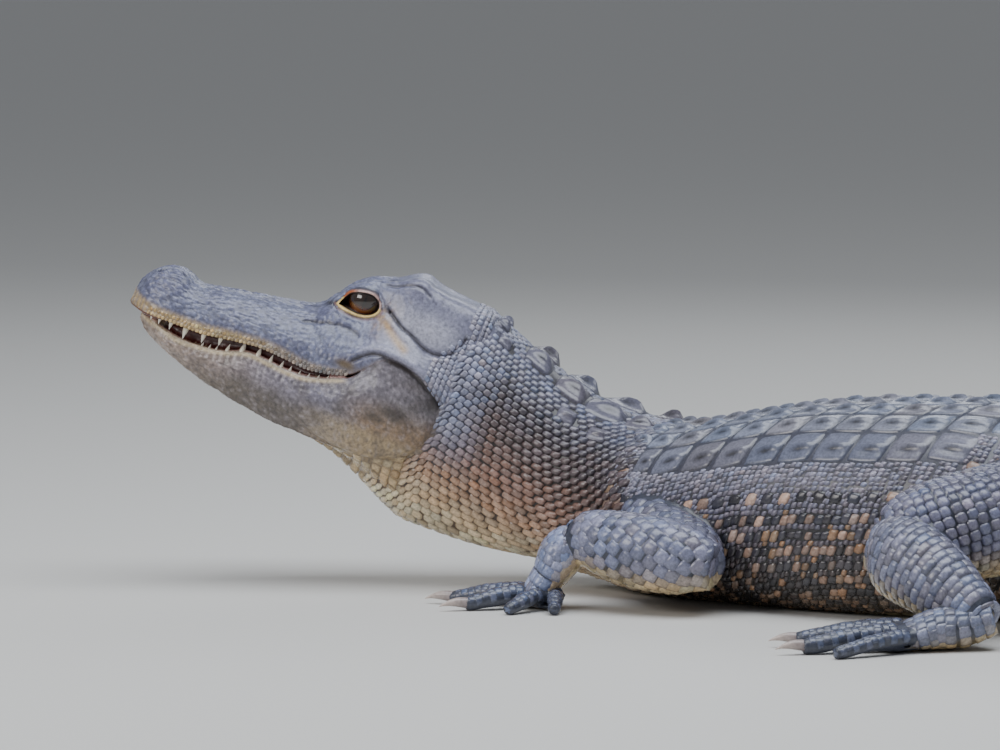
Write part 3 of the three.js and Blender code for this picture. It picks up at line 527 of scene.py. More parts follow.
def marked(count, first, last):
    """1 at the lines of a half section from first up to last, and 0 at the others, on both sides."""
    marks = ((np.arange(count) >= first) & (np.arange(count) < last)).astype(float)
    return np.concatenate([marks, marks[-2:0:-1]])[None, :]


def mouth_open(stations, tip_start, tip_end):
    """0 behind the corner of the mouth and at the tip of the snout, and 1 between them."""
    return ease(stations, MOUTH_CORNER - 4, MOUTH_CORNER + 6) * (1 - ease(stations, tip_start, tip_end))


skull_half = across_head([
    (flat, crown(skull_stations)), brow_edge(skull_stations), face_side(skull_stations),
    cheek(skull_stations), upper_lip(skull_stations),
], skull_keys)
parted = mouth_open(skull_stations, 222, 236)
skull_half = np.concatenate([skull_half, gum_lines(upper_lip(skull_stations), [
    (1.6, 1, -0.9 * parted), (3.4, 1, -0.6 * parted), (6, 1, 2 * parted), (6, 0.5, 5 * parted),
    (6, 0, 5 * parted)])])
outer = marked(len(skull_half), 0, len(skull_keys) - 1)
on_face = marked(len(skull_half), 15, 76)
skull_rings = with_nostrils(with_lids(pressed(folded(skull_stations, skull_half), outer), on_face))
skull_rings = rounded_off(skull_rings)
skull_stations = np.concatenate([skull_stations, HEAD_REAR + REAR_STEPS])
skin_parts["skull"] = loft(placed(skull_rings))

jaw_stations = np.concatenate([
    [226, 225.8, 225.3], np.arange(224.7, 215, -0.9), np.arange(214.4, HEAD_REAR, -1.7),
    [HEAD_REAR],
])
jaw_keys = np.linspace(0, 2, 42)
flat = np.zeros_like(jaw_stations)
lip_out, lip_up = lower_lip(jaw_stations)
lip_up = lip_up + 1.4 * (1 - ease(jaw_stations, MOUTH_CORNER - 4, MOUTH_CORNER + 6))
parted = mouth_open(jaw_stations, 212, 225)
jaw_half = across_head([(lip_out, lip_up), jowl(jaw_stations), jaw_edge(jaw_stations)], jaw_keys)
edge = np.stack(jaw_edge(jaw_stations), -1)
side = np.stack(throat_side(jaw_stations), -1)
bottom = np.stack([flat, throat_line(jaw_stations)], -1)
steps = np.linspace(0, 1, 9)[1:, None, None]
gum_rise = np.interp(jaw_stations, [50, 62, 82, 140, 158, 178, 190, 212],
                     [1.5, 3, 5.6, 5.6, 2.8, 2.8, 5.8, 3.6])
jaw_half = np.concatenate([
    gum_lines((lip_out, lip_up), [
        (6.5, 0, -5 * parted), (6.5, 0.5, -5 * parted), (6.5, 1, -1 * parted),
        (3.8, 1, gum_rise * parted), (2, 1, 0.66 * gum_rise * parted)]),
    jaw_half, edge + (side - edge) * steps, side + (bottom - side) * steps,
])
outer = marked(len(jaw_half), 6, len(jaw_half))


def jaw_relief(rings):
    """The jaw's folds: a crease under the corner of the mouth and low bumps along the lip."""
    x, z = rings[..., 0], rings[..., 2]
    side = outer * (np.abs(rings[..., 1]) > 10)
    beads = np.sin(x * 2 * math.pi / 5.2) * np.exp(-((z - lower_lip(x)[1] + 5) / 3.5) ** 2)
    beads *= ease(x, 60, 90)
    depth = (
        -2.2 * near_line(x, z, CHEEK_FOLD, 1.7)
        - 1.6 * near_line(x, z, [(12, -62), (0, -70), (-12, -75)], 2.2)
        - 1.4 * near_line(x, z, [(34, -80), (20, -86), (8, -87)], 2.4)
        + 0.45 * beads
    ) * side
    edge = line_distance(x, z, JOWL_EDGE)
    beyond = ~inside_outline(x, z, JOWL)
    step = np.where(beyond, -3.6 * ease(edge, 0, 4), 1.3 * np.exp(-((edge - 5) / 5) ** 2))
    depth += step * side * (z < -40) * (1 - ease(x, 66, 108))
    depth += outer * (0.6 * grain_on(rings, 13, 4) + 0.25 * grain_on(rings, 4.5, 5))
    depth += outer * 0.5 * (pebbles(rings, 4.6) - 0.7)
    return rings + outwards(rings) * depth[..., None]


jaw_rings = rounded_off(jaw_relief(folded(jaw_stations, jaw_half)))
jaw_stations = np.concatenate([jaw_stations, HEAD_REAR + REAR_STEPS])
skin_parts["jaw"] = loft(placed(jaw_rings))

# The tongue and the floor of the mouth fill the space behind the teeth.
mouth_stations = np.linspace(206, MOUTH_CORNER - 8, 40)
mouth_half = np.minimum(upper_lip(mouth_stations)[0], lower_lip(mouth_stations)[0]) - 9
roof = upper_lip(mouth_stations)[1] + 7
floor = lower_lip(mouth_stations)[1] - 8
turn = np.linspace(0, 2 * math.pi, 24, endpoint=False)
mouth_rings = np.stack([
    np.broadcast_to(mouth_stations[:, None], (40, 24)),
    mouth_half[:, None] * np.sign(np.cos(turn)) * np.abs(np.cos(turn)) ** 0.4,
    (roof + floor)[:, None] / 2
    + (roof - floor)[:, None] / 2 * np.sign(np.sin(turn)) * np.abs(np.sin(turn)) ** 0.4,
], -1)
skin_parts["mouth"] = loft(placed(mouth_rings))

# Limbs: upper and lower lengths, the flat of the hand or foot, digits with a web between them. They
# are tapered tubes whose paths run from the trunk down to the floor.

# Rows are (x, y, z, radius across, radius up), from the trunk outwards.
UPPER_ARM_LEFT = [(-156, -60, 62, 31, 31), (-130, -94, 54, 28, 28), (-84, -124, 43, 26, 27),
                  (-64, -133, 37, 15, 17)]
FOREARM_LEFT = [(-60, -134, 38, 15, 18), (-86, -137, 43, 25, 27), (-128, -140, 48, 25, 28),
                (-160, -140, 53, 21, 23), (-176, -140, 50, 19, 18)]
UPPER_ARM_RIGHT = [(-158, 60, 62, 31, 31), (-140, 98, 56, 28, 28), (-106, 138, 45, 26, 27),
                   (-90, 151, 40, 15, 17)]
FOREARM_RIGHT = [(-86, 152, 40, 15, 18), (-108, 160, 42, 25, 27), (-142, 174, 42, 24, 26),
                 (-172, 187, 40, 20, 21), (-186, 193, 36, 18, 16)]
THIGH_LEFT = [(192, -40, 84, 50, 42), (176, -84, 86, 46, 42), (146, -138, 80, 36, 39),
              (122, -164, 73, 27, 33), (108, -176, 68, 15, 21)]
SHANK_LEFT = [(104, -175, 68, 15, 21), (124, -181, 62, 27, 31), (156, -188, 48, 27, 29),
              (186, -195, 32, 20, 21), (202, -199, 23, 16, 15)]
THIGH_RIGHT = [(192, 40, 84, 50, 42), (180, 84, 86, 46, 42), (158, 136, 80, 36, 39),
               (138, 162, 72, 27, 33), (126, 174, 67, 15, 21)]
SHANK_RIGHT = [(122, 173, 67, 15, 21), (142, 178, 60, 27, 31), (174, 184, 46, 27, 29),
               (204, 190, 31, 20, 21), (220, 194, 23, 16, 15)]
# Digits: degrees out from straight ahead, length, radius at the knuckle, clawed or not.
FINGERS_LEFT = [(2, 64, 7.5, 1), (16, 72, 8, 1), (46, 60, 8, 1), (82, 48, 7, 0), (118, 38, 6.5, 0)]
FINGERS_RIGHT = [(12, 64, 7.5, 1), (30, 74, 8, 1), (54, 70, 8, 1), (84, 54, 7, 0), (116, 40, 6.5, 0)]
TOES_LEFT = [(6, 80, 9, 1), (25, 94, 9.5, 1), (45, 94, 9, 1), (63, 84, 7, 0)]
TOES_RIGHT = [(4, 80, 9, 1), (22, 94, 9.5, 1), (41, 94, 9, 1), (60, 84, 7, 0)]
HAND = {"name": "hand", "palm": 30, "half_width": 24, "sole": 11, "turn": 20, "web": 0.3}
FOOT = {"name": "foot", "palm": 46, "half_width": 25, "sole": 12, "turn": 30, "web": 0.62}
LIMBS = [
    {"side": -1 if hand_side == "left" else 1, "upper": upper, "lower": lower, "end": end,
     "names": [f"{length}_{hand_side}" for length in lengths], "digits": digits}
    for hand_side, lengths, upper, lower, end, digits in (
        ("left", ("upper_arm", "forearm", "hand"), UPPER_ARM_LEFT, FOREARM_LEFT, HAND, FINGERS_LEFT),
        ("right", ("upper_arm", "forearm", "hand"), UPPER_ARM_RIGHT, FOREARM_RIGHT, HAND, FINGERS_RIGHT),
        ("left", ("thigh", "shank", "foot"), THIGH_LEFT, SHANK_LEFT, FOOT, TOES_LEFT),
        ("right", ("thigh", "shank", "foot"), THIGH_RIGHT, SHANK_RIGHT, FOOT, TOES_RIGHT))
]
LIMB_SKIN = -0.9


def tube_surface(rows):
    """A surface along a path: read at a share of its length and an angle that is 90 degrees on top."""
    rows = np.array(rows, float)
    path = spline(np.arange(len(rows)), rows)

    def point(share, angle, grow=0):
        share, angle, grow = np.broadcast_arrays(np.asarray(share, float), angle, grow)
        key = share * (len(rows) - 1)
        centre = path(key)
        ahead = path(np.minimum(key + 0.02, len(rows) - 1)) - path(np.maximum(key - 0.02, 0))
        ahead = ahead[..., :3]
        ahead = ahead / np.linalg.norm(ahead, axis=-1, keepdims=True)
        across = np.stack([-ahead[..., 1], ahead[..., 0], np.zeros_like(share)], -1)
        across = across / np.linalg.norm(across, axis=-1, keepdims=True)
        up = np.cross(ahead, across)
        radius = centre[..., 3:5] + grow[..., None]
        return (centre[..., :3] + across * (np.cos(angle) * radius[..., 0])[..., None]
                + up * (np.sin(angle) * radius[..., 1])[..., None])

    return point


def tube_mesh(surface, steps, around, grow):
    """The points and faces of a limb's length, kept off the floor."""
    share = np.linspace(0, 1, steps + 1)[:, None]
    angle = np.linspace(0, 2 * math.pi, around, endpoint=False)[None, :]
    rings = surface(share, angle, grow)
    rings[..., 2] = np.maximum(rings[..., 2], 0.3)
    return loft(rings)


def level(limb, degrees):
    """A level direction at an angle out from straight ahead, on the limb's own side."""
    turn = math.radians(degrees)
    return np.array([-math.cos(turn), limb["side"] * math.sin(turn), 0.0])


def digit_of(limb, degrees, length, radius, clawed):
    """Where a finger or toe starts and ends, from its row of sizes."""
    end = limb["end"]
    along = level(limb, degrees)
    x, y = limb["lower"][-1][:2]
    hub = np.array([x, y, end["sole"]]) + level(limb, end["turn"]) * end["palm"] * 0.5
    root = hub + along * end["palm"] * 0.4
    tip = root + along * length
    tip[2] = radius * 0.62
    return {"along": along, "root": root, "tip": tip, "radius": radius, "clawed": clawed}


def digit_rows(digit):
    """Four joints with a slight swelling at each knuckle."""
    root, tip, radius = digit["root"], digit["tip"], digit["radius"]
    lift = np.array([0, 0, radius * 0.35])
    stops = [(0, 1.1, 0), (0.2, 0.98, 0.6), (0.36, 1.02, 0.9), (0.5, 0.94, 1), (0.64, 0.95, 0.8),
             (0.8, 0.8, 0.4), (0.93, 0.74, 0.1), (1, 0.62, 0)]
    return [(*(root + (tip - root) * at + lift * rise), radius * size, radius * size * 0.98)
            for at, size, rise in stops]


def palm_rows(limb):
    """The path of the flat of the hand or foot, from the wrist or ankle to the digits."""
    end = limb["end"]
    x, y, z, across, upward = limb["lower"][-1]
    along = level(limb, end["turn"])
    sole, wide = end["sole"], end["half_width"]

    def at(share, height):
        return (x + along[0] * end["palm"] * share, y + along[1] * end["palm"] * share, height)

    return [
        (x - along[0] * 6, y - along[1] * 6, z, across * 0.8, upward * 0.8),
        (*at(0.3, z - 6), across * 1.05, upward),
        (*at(0.7, z + (sole - z) * 0.65), across + (wide - across) * 0.6, sole + 3),
        (*at(1.05, sole), wide, sole + 0.5),
        (*at(1.35, sole - 3), wide * 0.7, sole - 3),
    ]


def web_mesh(limb, first, second):
    """A thin sheet of skin between two digits, hollow at its front edge."""
    reach = limb["end"]["web"]
    across = np.linspace(0, 1, 11)[:, None]
    forth = np.linspace(0, 1, 9)[None, :] * (reach * (1 - 0.3 * np.sin(math.pi * across)))
    start = first["root"] + (second["root"] - first["root"]) * across[..., None]
    ends = first["tip"] + (second["tip"] - first["tip"]) * across[..., None]
    top = start + (ends - start) * forth[..., None]
    top[..., 2] = 5.2 - 1.2 * np.sin(math.pi * across)
    low = top.copy()
    low[..., 2] = 1.6
    rings = np.concatenate([top, low[:, ::-1]], 1)
    return loft(rings)


for limb in LIMBS:
    limb["surfaces"] = [tube_surface(rows) for rows in (limb["upper"], limb["lower"], palm_rows(limb))]
    limb["digits"] = [digit_of(limb, *row) for row in limb["digits"]]
    for name, surface in zip(limb["names"], limb["surfaces"]):
        skin_parts[name] = tube_mesh(surface, 30, 36, LIMB_SKIN)
    for i, digit in enumerate(limb["digits"]):
        digit["surface"] = tube_surface(digit_rows(digit))
        skin_parts[f"{limb['names'][2]}_digit_{i}"] = tube_mesh(digit["surface"], 24, 16, -0.3)
        if i:
            skin_parts[f"{limb['names'][2]}_web_{i}"] = web_mesh(limb, limb["digits"][i - 1], digit)

# The skin: all the lengths of flesh joined into one closed surface, so that no seam shows. Its
# colours are worked out on each length first: grey-blue above, tan and cream below.


def linear(red, green, blue):
    """A colour given as it looks on a screen, from 0 to 255, as light amounts."""
    share = np.array([red, green, blue]) / 255
    return np.where(share > 0.04045, ((share + 0.055) / 1.055) ** 2.4, share / 12.92)


def ramp(places, colours):
    """Colours read from stops at places."""
    places, colours = np.array(places), np.array([linear(*colour) for colour in colours])
    return lambda at: np.stack([np.interp(at, places, colours[:, c]) for c in range(3)], -1)


def mixed(low, high, share):
    """A value between two, by a share from 0 to 1."""
    share = np.asarray(share, float)[..., None]
    return low + (high - low) * share


def over(tone, colour, cover):
    """A colour laid over a tone, with its cover from 0 to 1."""
    cover = np.clip(cover, 0, 1)[..., None]
    return tone + (colour - tone) * cover


def layered(tone, *coats):
    """A tone under coats of colour in turn, each with its cover from 0 to 1."""
    for colour, cover in coats:
        tone = over(tone, linear(*colour), cover)
    return tone


def spots(x, z, places):
    """Cover of soft round spots, each a place, its reach along and up."""
    cover = np.zeros(np.shape(x))
    for at_x, at_z, reach_x, reach_z in places:
        cover = np.maximum(cover, np.exp(-(((x - at_x) / reach_x) ** 2 + ((z - at_z) / reach_z) ** 2) ** 1.5))
    return cover


def skull_tone(local):
    """Grey-lilac with a tan edge to the lip and tan scales behind the eye, with painted shade in its folds,
    slits, nostrils, socket and pebble grooves and a painted highlight on the cheek ridge.
    """
    x, z, out = local[..., 0], local[..., 2], np.abs(local[..., 1])
    side = out > 15
    patch = grain(local.reshape(-1, 3), 16, 6).reshape(x.shape)
    fleck = grain(local.reshape(-1, 3), 3.6, 7).reshape(x.shape)
    pebbled = 0.2 + 0.8 * ease(x, 45, 95)
    height = z - upper_lip(x)[1]
    band = np.interp(x, [50, 62, 120, 215, 240], [4, 6, 8.5, 9, 12])
    teeth_beads = 0.5 + 0.5 * np.sin(x * 2 * math.pi / 3.7 + 2 * fleck)
    tan = (1 - ease(height, band - 3, band + 2)) * (0.55 + 0.45 * teeth_beads)
    cheek_ridge_highlight = [(52, -34), (38, -25), (20, -27), (4, -31), (-8, -38)]
    tan_scales = [(44, -8), (34, -15), (22, -21)]
    tone = layered(
        np.broadcast_to(linear(114, 118, 144), local.shape),
        ((98, 100, 128), 0.5 + patch),
        ((136, 134, 152), 0.5 * ease(-x, -60, -20) * side),
        ((140, 142, 160), 0.35 * ease(fleck, 0.1, 0.6)))
    # Painted shade in the grooves between pebbles, with the pebbles' tops a little lighter.
    return layered(
        tone * (1 + 0.42 * pebbled * (pebbles(local, 4.8) - 0.72))[..., None],
        ((70, 70, 86), 0.4 * ease(-fleck, 0.15, 0.6)),
        ((176, 150, 106), tan * np.interp(x, [45, 60, 130, 160], [0.2, 0.5, 0.65, 0.95])),
        ((86, 62, 40), 0.7 * (1 - ease(height, 0.5, 2.2))),
        ((168, 168, 184), 0.85 * spots(x, z, [(14, -2, 30, 13)]) * side),
        # Painted highlight along the raised ridge above the cheek fold.
        ((150, 150, 172), 0.75 * side * near_line(x, z, cheek_ridge_highlight, 3.6)),
        ((156, 128, 96), 0.8 * side * (0.5 + fleck) * spots(x, z, [(46, -6, 8, 13)])),
        ((168, 136, 96), 0.85 * side * near_line(x, z, tan_scales, 3)),
        # Painted shade: dark in the ear slit, along the table's edge, before and under the eye, in the cheek
        # fold, in the nostrils and in the eye's socket.
        ((32, 26, 34), 0.9 * side * near_line(x, z, EAR_SLIT, 1.7)),
        ((40, 36, 46), 0.75 * near_line(x, z, TABLE_EDGE, 1.3)),
        ((30, 24, 30), 0.85 * side * near_line(x, z, FRONT_OF_EYE, 1.8)),
        ((38, 32, 40), 0.8 * side * near_line(x, z, UNDER_EYE, 1.6)),
        ((30, 20, 22), 0.9 * side * near_line(x, z, CHEEK_FOLD, 2.0)),
        ((104, 84, 40), 0.8 * side * spots(x, z, [(60, -49, 9, 4)])),
        ((34, 30, 40), 0.85 * (z > crown(x) - 9) * near_line(x, out, NOSTRIL, 1.7)),
        ((96, 44, 36), ((height < 0.3) & (x > MOUTH_CORNER)) * 0.95),
        ((20, 12, 12), 1.0 * (lid_gap(x, z) < 1) * side))


def jaw_tone(local):
    """Pinkish cream in front, speckled grey behind, with a pale lip and a tan lower jowl; painted shade
    darkens the pebble grooves, the lower front and the cheek fold.
    """
    x, z, out = local[..., 0], local[..., 2], np.abs(local[..., 1])
    patch = grain(local.reshape(-1, 3), 13, 8).reshape(x.shape)
    fleck = grain(local.reshape(-1, 3), 3.2, 9).reshape(x.shape)
    along = ramp([-30, 20, 70, 120, 160, 230], [
        (118, 112, 116), (120, 114, 122), (124, 120, 136), (132, 124, 132),
        (150, 134, 126), (168, 148, 132)])(x)
    drop = lower_lip(x)[1] - z
    # Painted shade in the grooves between pebbles, with the pebbles' tops a little lighter.
    along = along * (1 + 0.4 * (pebbles(local, 4.6) - 0.72))[..., None]
    blotches = [(10, -70, 11, 5), (-15, -52, 8, 7), (24, -78, 8, 5)]
    tone = layered(
        along,
        # Painted shade: darker olive lower down the front of the jaw.
        ((92, 82, 66), 0.75 * ease(drop, 12, 30) * ease(x, 40, 90)),
        ((146, 118, 84), 0.8 * ease(-z, 58, 84) * (1 - ease(x, 20, 60))),
        ((172, 152, 116), 0.6 * ease(-z, 84, 96) * (1 - ease(x, 50, 90))),
        ((176, 168, 176), 0.3 * ease(fleck, 0.1, 0.5)),
        ((62, 56, 60), 0.5 * ease(-fleck, 0.1, 0.55)),
        ((80, 72, 66), 0.4 * ease(patch, 0, 0.5)),
        ((40, 34, 30), 0.7 * spots(x, z, blotches)),
        # Painted shade in the cheek fold.
        ((26, 18, 20), 0.9 * near_line(x, z, CHEEK_FOLD, 2.0)),
        ((206, 186, 150), 0.8 * (np.exp(-((drop - 1.6) / 1.6) ** 2) * ease(x, 52, 60))),
        ((104, 84, 40), 0.8 * spots(x, z, [(58, -53, 8, 4)])))
    inside = (drop < 0.2) & (out < lower_lip(x)[0] - 0.2) & (x > MOUTH_CORNER)
    dark = ease(x, 140, 162) * (1 - ease(x, 176, 190))
    gum = mixed(linear(178, 138, 130), linear(104, 54, 46), dark)
    return np.where(inside[..., None], gum, tone)


def body_tone(along, angle):
    """The skin between the body's scales, darker than they are."""
    turn = np.abs(np.mod(angle + math.pi, 2 * math.pi) - math.pi) / math.pi
    neck = ramp([0, 0.3, 0.6, 0.8, 1],
                [(50, 48, 60), (30, 26, 28), (42, 30, 26), (84, 60, 44),
                 (110, 92, 64)])(turn)
    trunk = ramp([0, 0.34, 0.5, 0.7, 0.85, 1],
                 [(56, 60, 76), (60, 60, 72), (38, 36, 40), (34, 30, 28),
                  (110, 92, 66), (130, 114, 84)])(turn)
    behind_head = (1 - ease(along, 0, 26)) * (1 - ease(turn, 0.45, 0.7))
    neck = over(neck, linear(92, 92, 110), behind_head)
    return over(neck, trunk, ease(along + 0 * angle, 140, 185))


def limb_tone(height_share):
    """Blue-grey above and cream beneath; the share is 1 on top and -1 beneath."""
    above = np.broadcast_to(linear(56, 60, 74), (*height_share.shape, 3))
    return over(above, linear(120, 106, 76), ease(-height_share, 0.35, 0.9))


skin_tones = {"body": body_tone(body_stations[:, None], body_angles[None, :])}
skin_tones["skull"] = skull_tone(skull_rings)
skin_tones["jaw"] = jaw_tone(jaw_rings)
for name in skin_parts:
    if name not in skin_tones:
        colour = linear(70, 22, 18) if name == "mouth" else linear(58, 62, 76)
        skin_tones[name] = np.tile(colour, (len(skin_parts[name][0]), 1))
for limb in LIMBS:
    for name in limb["names"]:
        angle = np.linspace(0, 2 * math.pi, 36, endpoint=False)
        skin_tones[name] = limb_tone(np.tile(np.sin(angle), (31, 1)))


def new_mesh(name, points, faces):
    mesh = bpy.data.meshes.new(name)
    mesh.from_pydata((np.asarray(points) * 0.001).tolist(), [], faces)
    mesh.update()
    return mesh


def linked(name, data):
    """An object in the scene, with its mesh, lamp or camera."""
    thing = bpy.data.objects.new(name, data)
    bpy.context.scene.collection.objects.link(thing)
    return thing


def mesh_points(mesh):
    points = np.empty(len(mesh.vertices) * 3, np.float32)
    mesh.vertices.foreach_get("co", points)
    return points.reshape(-1, 3).astype(float) * 1000


def numbers_of(items, field, width):
    """Whole numbers read from each item of a mesh, in rows of this width."""
    found = np.empty(len(items) * width, np.int32)
    items.foreach_get(field, found)
    return found.reshape(-1, width)


def smoothed(mesh):
    mesh.polygons.foreach_set("use_smooth", np.ones(len(mesh.polygons), bool))


def turned_out(mesh):
    """Faces of a closed mesh turned outwards."""
    points = mesh_points(mesh)
    mesh.calc_loop_triangles()
    a, b, c = points[numbers_of(mesh.loop_triangles, "vertices", 3)].transpose(1, 0, 2)
    if (a * np.cross(b, c)).sum() < 0:
        mesh.flip_normals()
    return mesh


def set_tone(mesh, colours):
    """Stores a colour for each point, which the materials read."""
    attribute = mesh.color_attributes.new("Tone", "FLOAT_COLOR", "POINT")
    attribute.data.foreach_set("color", np.column_stack([colours, np.ones(len(colours))]).ravel())


joined = bpy.data.collections.new("flesh")
for name, (points, faces) in skin_parts.items():
    if name != "body":
        piece = bpy.data.objects.new(name, turned_out(new_mesh(name, points, faces)))
        joined.objects.link(piece)
skin = linked("skin", turned_out(new_mesh("skin", *skin_parts["body"])))
union = skin.modifiers.new("union", "BOOLEAN")
union.operation = "UNION"
union.solver = "MANIFOLD"
union.operand_type = "COLLECTION"
union.collection = joined
whole = bpy.data.meshes.new_from_object(skin.evaluated_get(bpy.context.evaluated_depsgraph_get()))
bpy.data.objects.remove(skin)
for piece in list(joined.objects):
    bpy.data.objects.remove(piece)
bpy.data.collections.remove(joined)

made = np.concatenate([points for points, faces in skin_parts.values()])
made_tones = []
for name, (points, faces) in skin_parts.items():
    tones = skin_tones[name].reshape(-1, 3)
    made_tones += [tones[:len(points)], np.tile(tones[30], (max(0, len(points) - len(tones)), 1))]
made_tones = np.concatenate(made_tones)
tree = kdtree.KDTree(len(made))
for i, point in enumerate(made.tolist()):
    tree.insert(point, i)
tree.balance()
skin_points = mesh_points(whole)
found = [tree.find(point) for point in skin_points.tolist()]
nearest = np.array([hit[1] for hit in found])
new_points = np.array([hit[2] for hit in found]) > 0.02
set_tone(whole, made_tones[nearest])

# Where two lengths meet, the crossing line is rounded off: points the join has made, and those
# within a few steps of them, are drawn to the middle of their neighbours.
skin_edges = numbers_of(whole.edges, "vertices", 2)
SEAM_STEPS, SEAM_FADE = 5, 0.82
ROUNDING_TURNS, ROUNDING_SHARE = 14, 0.6
edge_ends = [(skin_edges[:, 0], skin_edges[:, 1]), (skin_edges[:, 1], skin_edges[:, 0])]
near = new_points.astype(float)
for spread in range(SEAM_STEPS):
    reached = np.zeros(len(near))
    for end, other in edge_ends:
        np.maximum.at(reached, end, near[other])
    near = np.maximum(near, reached * SEAM_FADE)
degree = np.bincount(skin_edges.ravel(), minlength=len(skin_points)).astype(float)[:, None]
for turn in range(ROUNDING_TURNS):
    middle = np.zeros_like(skin_points)
    for end, other in edge_ends:
        np.add.at(middle, end, skin_points[other])
    skin_points += (middle / degree - skin_points) * (near * ROUNDING_SHARE)[:, None]
whole.vertices.foreach_set("co", (skin_points * 0.001).ravel())
smoothed(whole)
whole.name = "skin"
skin = linked("skin", whole)

FLESH_NODES = ["skull", "lower_jaw", "neck", "torso", *[f"tail_{i}" for i in range(1, 5)],
               *[name for limb in LIMBS for name in limb["names"]]]
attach(skin, BODY)
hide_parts(*FLESH_NODES)


def add_node(tree, kind, inputs=(), **settings):
    """A node with its settings; each input takes a value or a link from another node's output."""
    node = tree.nodes.new(kind)
    for name, value in settings.items():
        setattr(node, name, value)
    for socket, value in dict(inputs).items():
        if isinstance(value, bpy.types.NodeSocket):
            tree.links.new(value, node.inputs[socket])
        else:
            node.inputs[socket].default_value = value
    return node


def new_tree(name, kind, sockets):
    """A node group and its two end nodes; sockets are rows of label, kind, direction and value."""
    tree = bpy.data.node_groups.new(name, kind)
    for label, socket, direction, *value in sockets:
        made = tree.interface.new_socket(label, in_out=direction, socket_type=f"NodeSocket{socket}")
        if value:
            made.default_value = value[0]
    return tree, tree.nodes.new("NodeGroupInput").outputs


def grain_group():
    """Fine flecks and patches over a tone, and a fine grain as a normal."""
    group, given = new_tree("hide grain", "ShaderNodeTree", [
        ("Tone", "Color", "INPUT"), ("Flecks", "Float", "INPUT"), ("Size", "Float", "INPUT"),
        ("Relief", "Float", "INPUT"), ("Colour", "Color", "OUTPUT"), ("Normal", "Vector", "OUTPUT")])
    place = add_node(group, "ShaderNodeTexCoord")
    fine = add_node(group, "ShaderNodeTexNoise", {
        "Vector": place.outputs["Object"], "Scale": given["Size"], "Detail": 4, "Roughness": 0.6})
    spread = add_node(group, "ShaderNodeMapRange", {
        "Value": fine.outputs["Fac"], "From Min": 0.3, "From Max": 0.7, "To Min": -1})
    amount = add_node(group, "ShaderNodeMath", {0: spread.outputs["Result"], 1: given["Flecks"], 2: 1},
                      operation="MULTIPLY_ADD")
    colour = add_node(group, "ShaderNodeVectorMath", {0: given["Tone"], "Scale": amount.outputs["Value"]},
                      operation="SCALE")
    bump = add_node(group, "ShaderNodeBump", {
        "Distance": 0.0006, "Strength": given["Relief"], "Height": fine.outputs["Fac"]})
    add_node(group, "NodeGroupOutput", {
        "Colour": colour.outputs["Vector"], "Normal": bump.outputs["Normal"]})
    return group


HIDE_GRAIN = grain_group()


def new_look(name):
    """A material and its node tree."""
    look = bpy.data.materials.new(name)
    look.use_nodes = True
    return look, look.node_tree


def finish(tree, **inputs):
    """Sets inputs of the material's Principled shader, named with underscores for spaces."""
    shader = tree.nodes["Principled BSDF"]
    for name, value in inputs.items():
        socket = shader.inputs[name.replace("_", " ")]
        if isinstance(value, bpy.types.NodeSocket):
            tree.links.new(value, socket)
        else:
            socket.default_value = value


def blended(tree, low, high, share):
    """A colour between two, by a share from another node."""
    return add_node(tree, "ShaderNodeMix", {"A": low, "B": high, "Factor": share},
                    data_type="RGBA").outputs["Result"]


def hide(name, roughness, flecks, size, relief, coat=0.35, root=None, tip=None):
    """Hide or horn under flecks and a gloss: its tone is the piece's own, or runs from root to tip."""
    look, tree = new_look(name)
    if root is None:
        tone = add_node(tree, "ShaderNodeAttribute", attribute_name="Tone").outputs["Color"]
    else:
        along = add_node(tree, "ShaderNodeAttribute", attribute_name="Along")
        tone = blended(tree, (*root, 1), (*tip, 1), along.outputs["Fac"])
    flecked = add_node(tree, "ShaderNodeGroup", {
        "Tone": tone, "Flecks": flecks, "Size": size, "Relief": relief}, node_tree=HIDE_GRAIN)
    finish(tree, Base_Color=flecked.outputs["Colour"], Normal=flecked.outputs["Normal"],
           Roughness=roughness, Coat_Weight=coat, Coat_Roughness=0.2)
    return look


skin_look = hide("hide", roughness=0.36, flecks=0.35, size=420, relief=0.5)
scale_look = hide("scales", roughness=0.26, flecks=0.3, size=460, relief=0.3, coat=0.5)
whole.materials.clear()
whole.materials.append(skin_look)

# Scales: horny pads set in rows over the skin. Each is a small domed plate whose rim sinks into
# the skin, joined with its neighbours' into one mesh for each part of the body.

shuffle = np.random.default_rng(11)


def varied(tone, amount):
    """A colour for each pad, a little lighter, darker or warmer than its neighbours."""
    light = np.exp(amount * shuffle.standard_normal((len(tone), 1)))
    warm = 1 + 0.05 * shuffle.standard_normal((len(tone), 1)) * np.array([1, 0, -1])
    return np.clip(tone * light * warm, 0.004, 0.85)


def one_colour(colour, rows, amount):
    """The same colour for each row, varied by this amount."""
    return varied(np.tile(linear(*colour), (len(rows), 1)), amount)


def read_grid(grid, i, j, wraps=False):
    """Reads a grid of values between its points; the second index may wrap round."""
    rows, columns = grid.shape[:2]
    i = np.clip(i, 0, rows - 1.001)
    j = np.mod(j, columns) if wraps else np.clip(j, 0, columns - 1.001)
    i0, j0 = np.floor(i).astype(int), np.floor(j).astype(int) % columns
    j1 = (j0 + 1) % columns
    extra = [1] * (grid.ndim - 2)
    di = np.reshape(i - i0, (*np.shape(i), *extra))
    dj = np.reshape(j - np.floor(j), (*np.shape(j), *extra))
    near = grid[i0, j0] * (1 - dj) + grid[i0, j1] * dj
    far = grid[i0 + 1, j0] * (1 - dj) + grid[i0 + 1, j1] * dj
    return near * (1 - di) + far * di


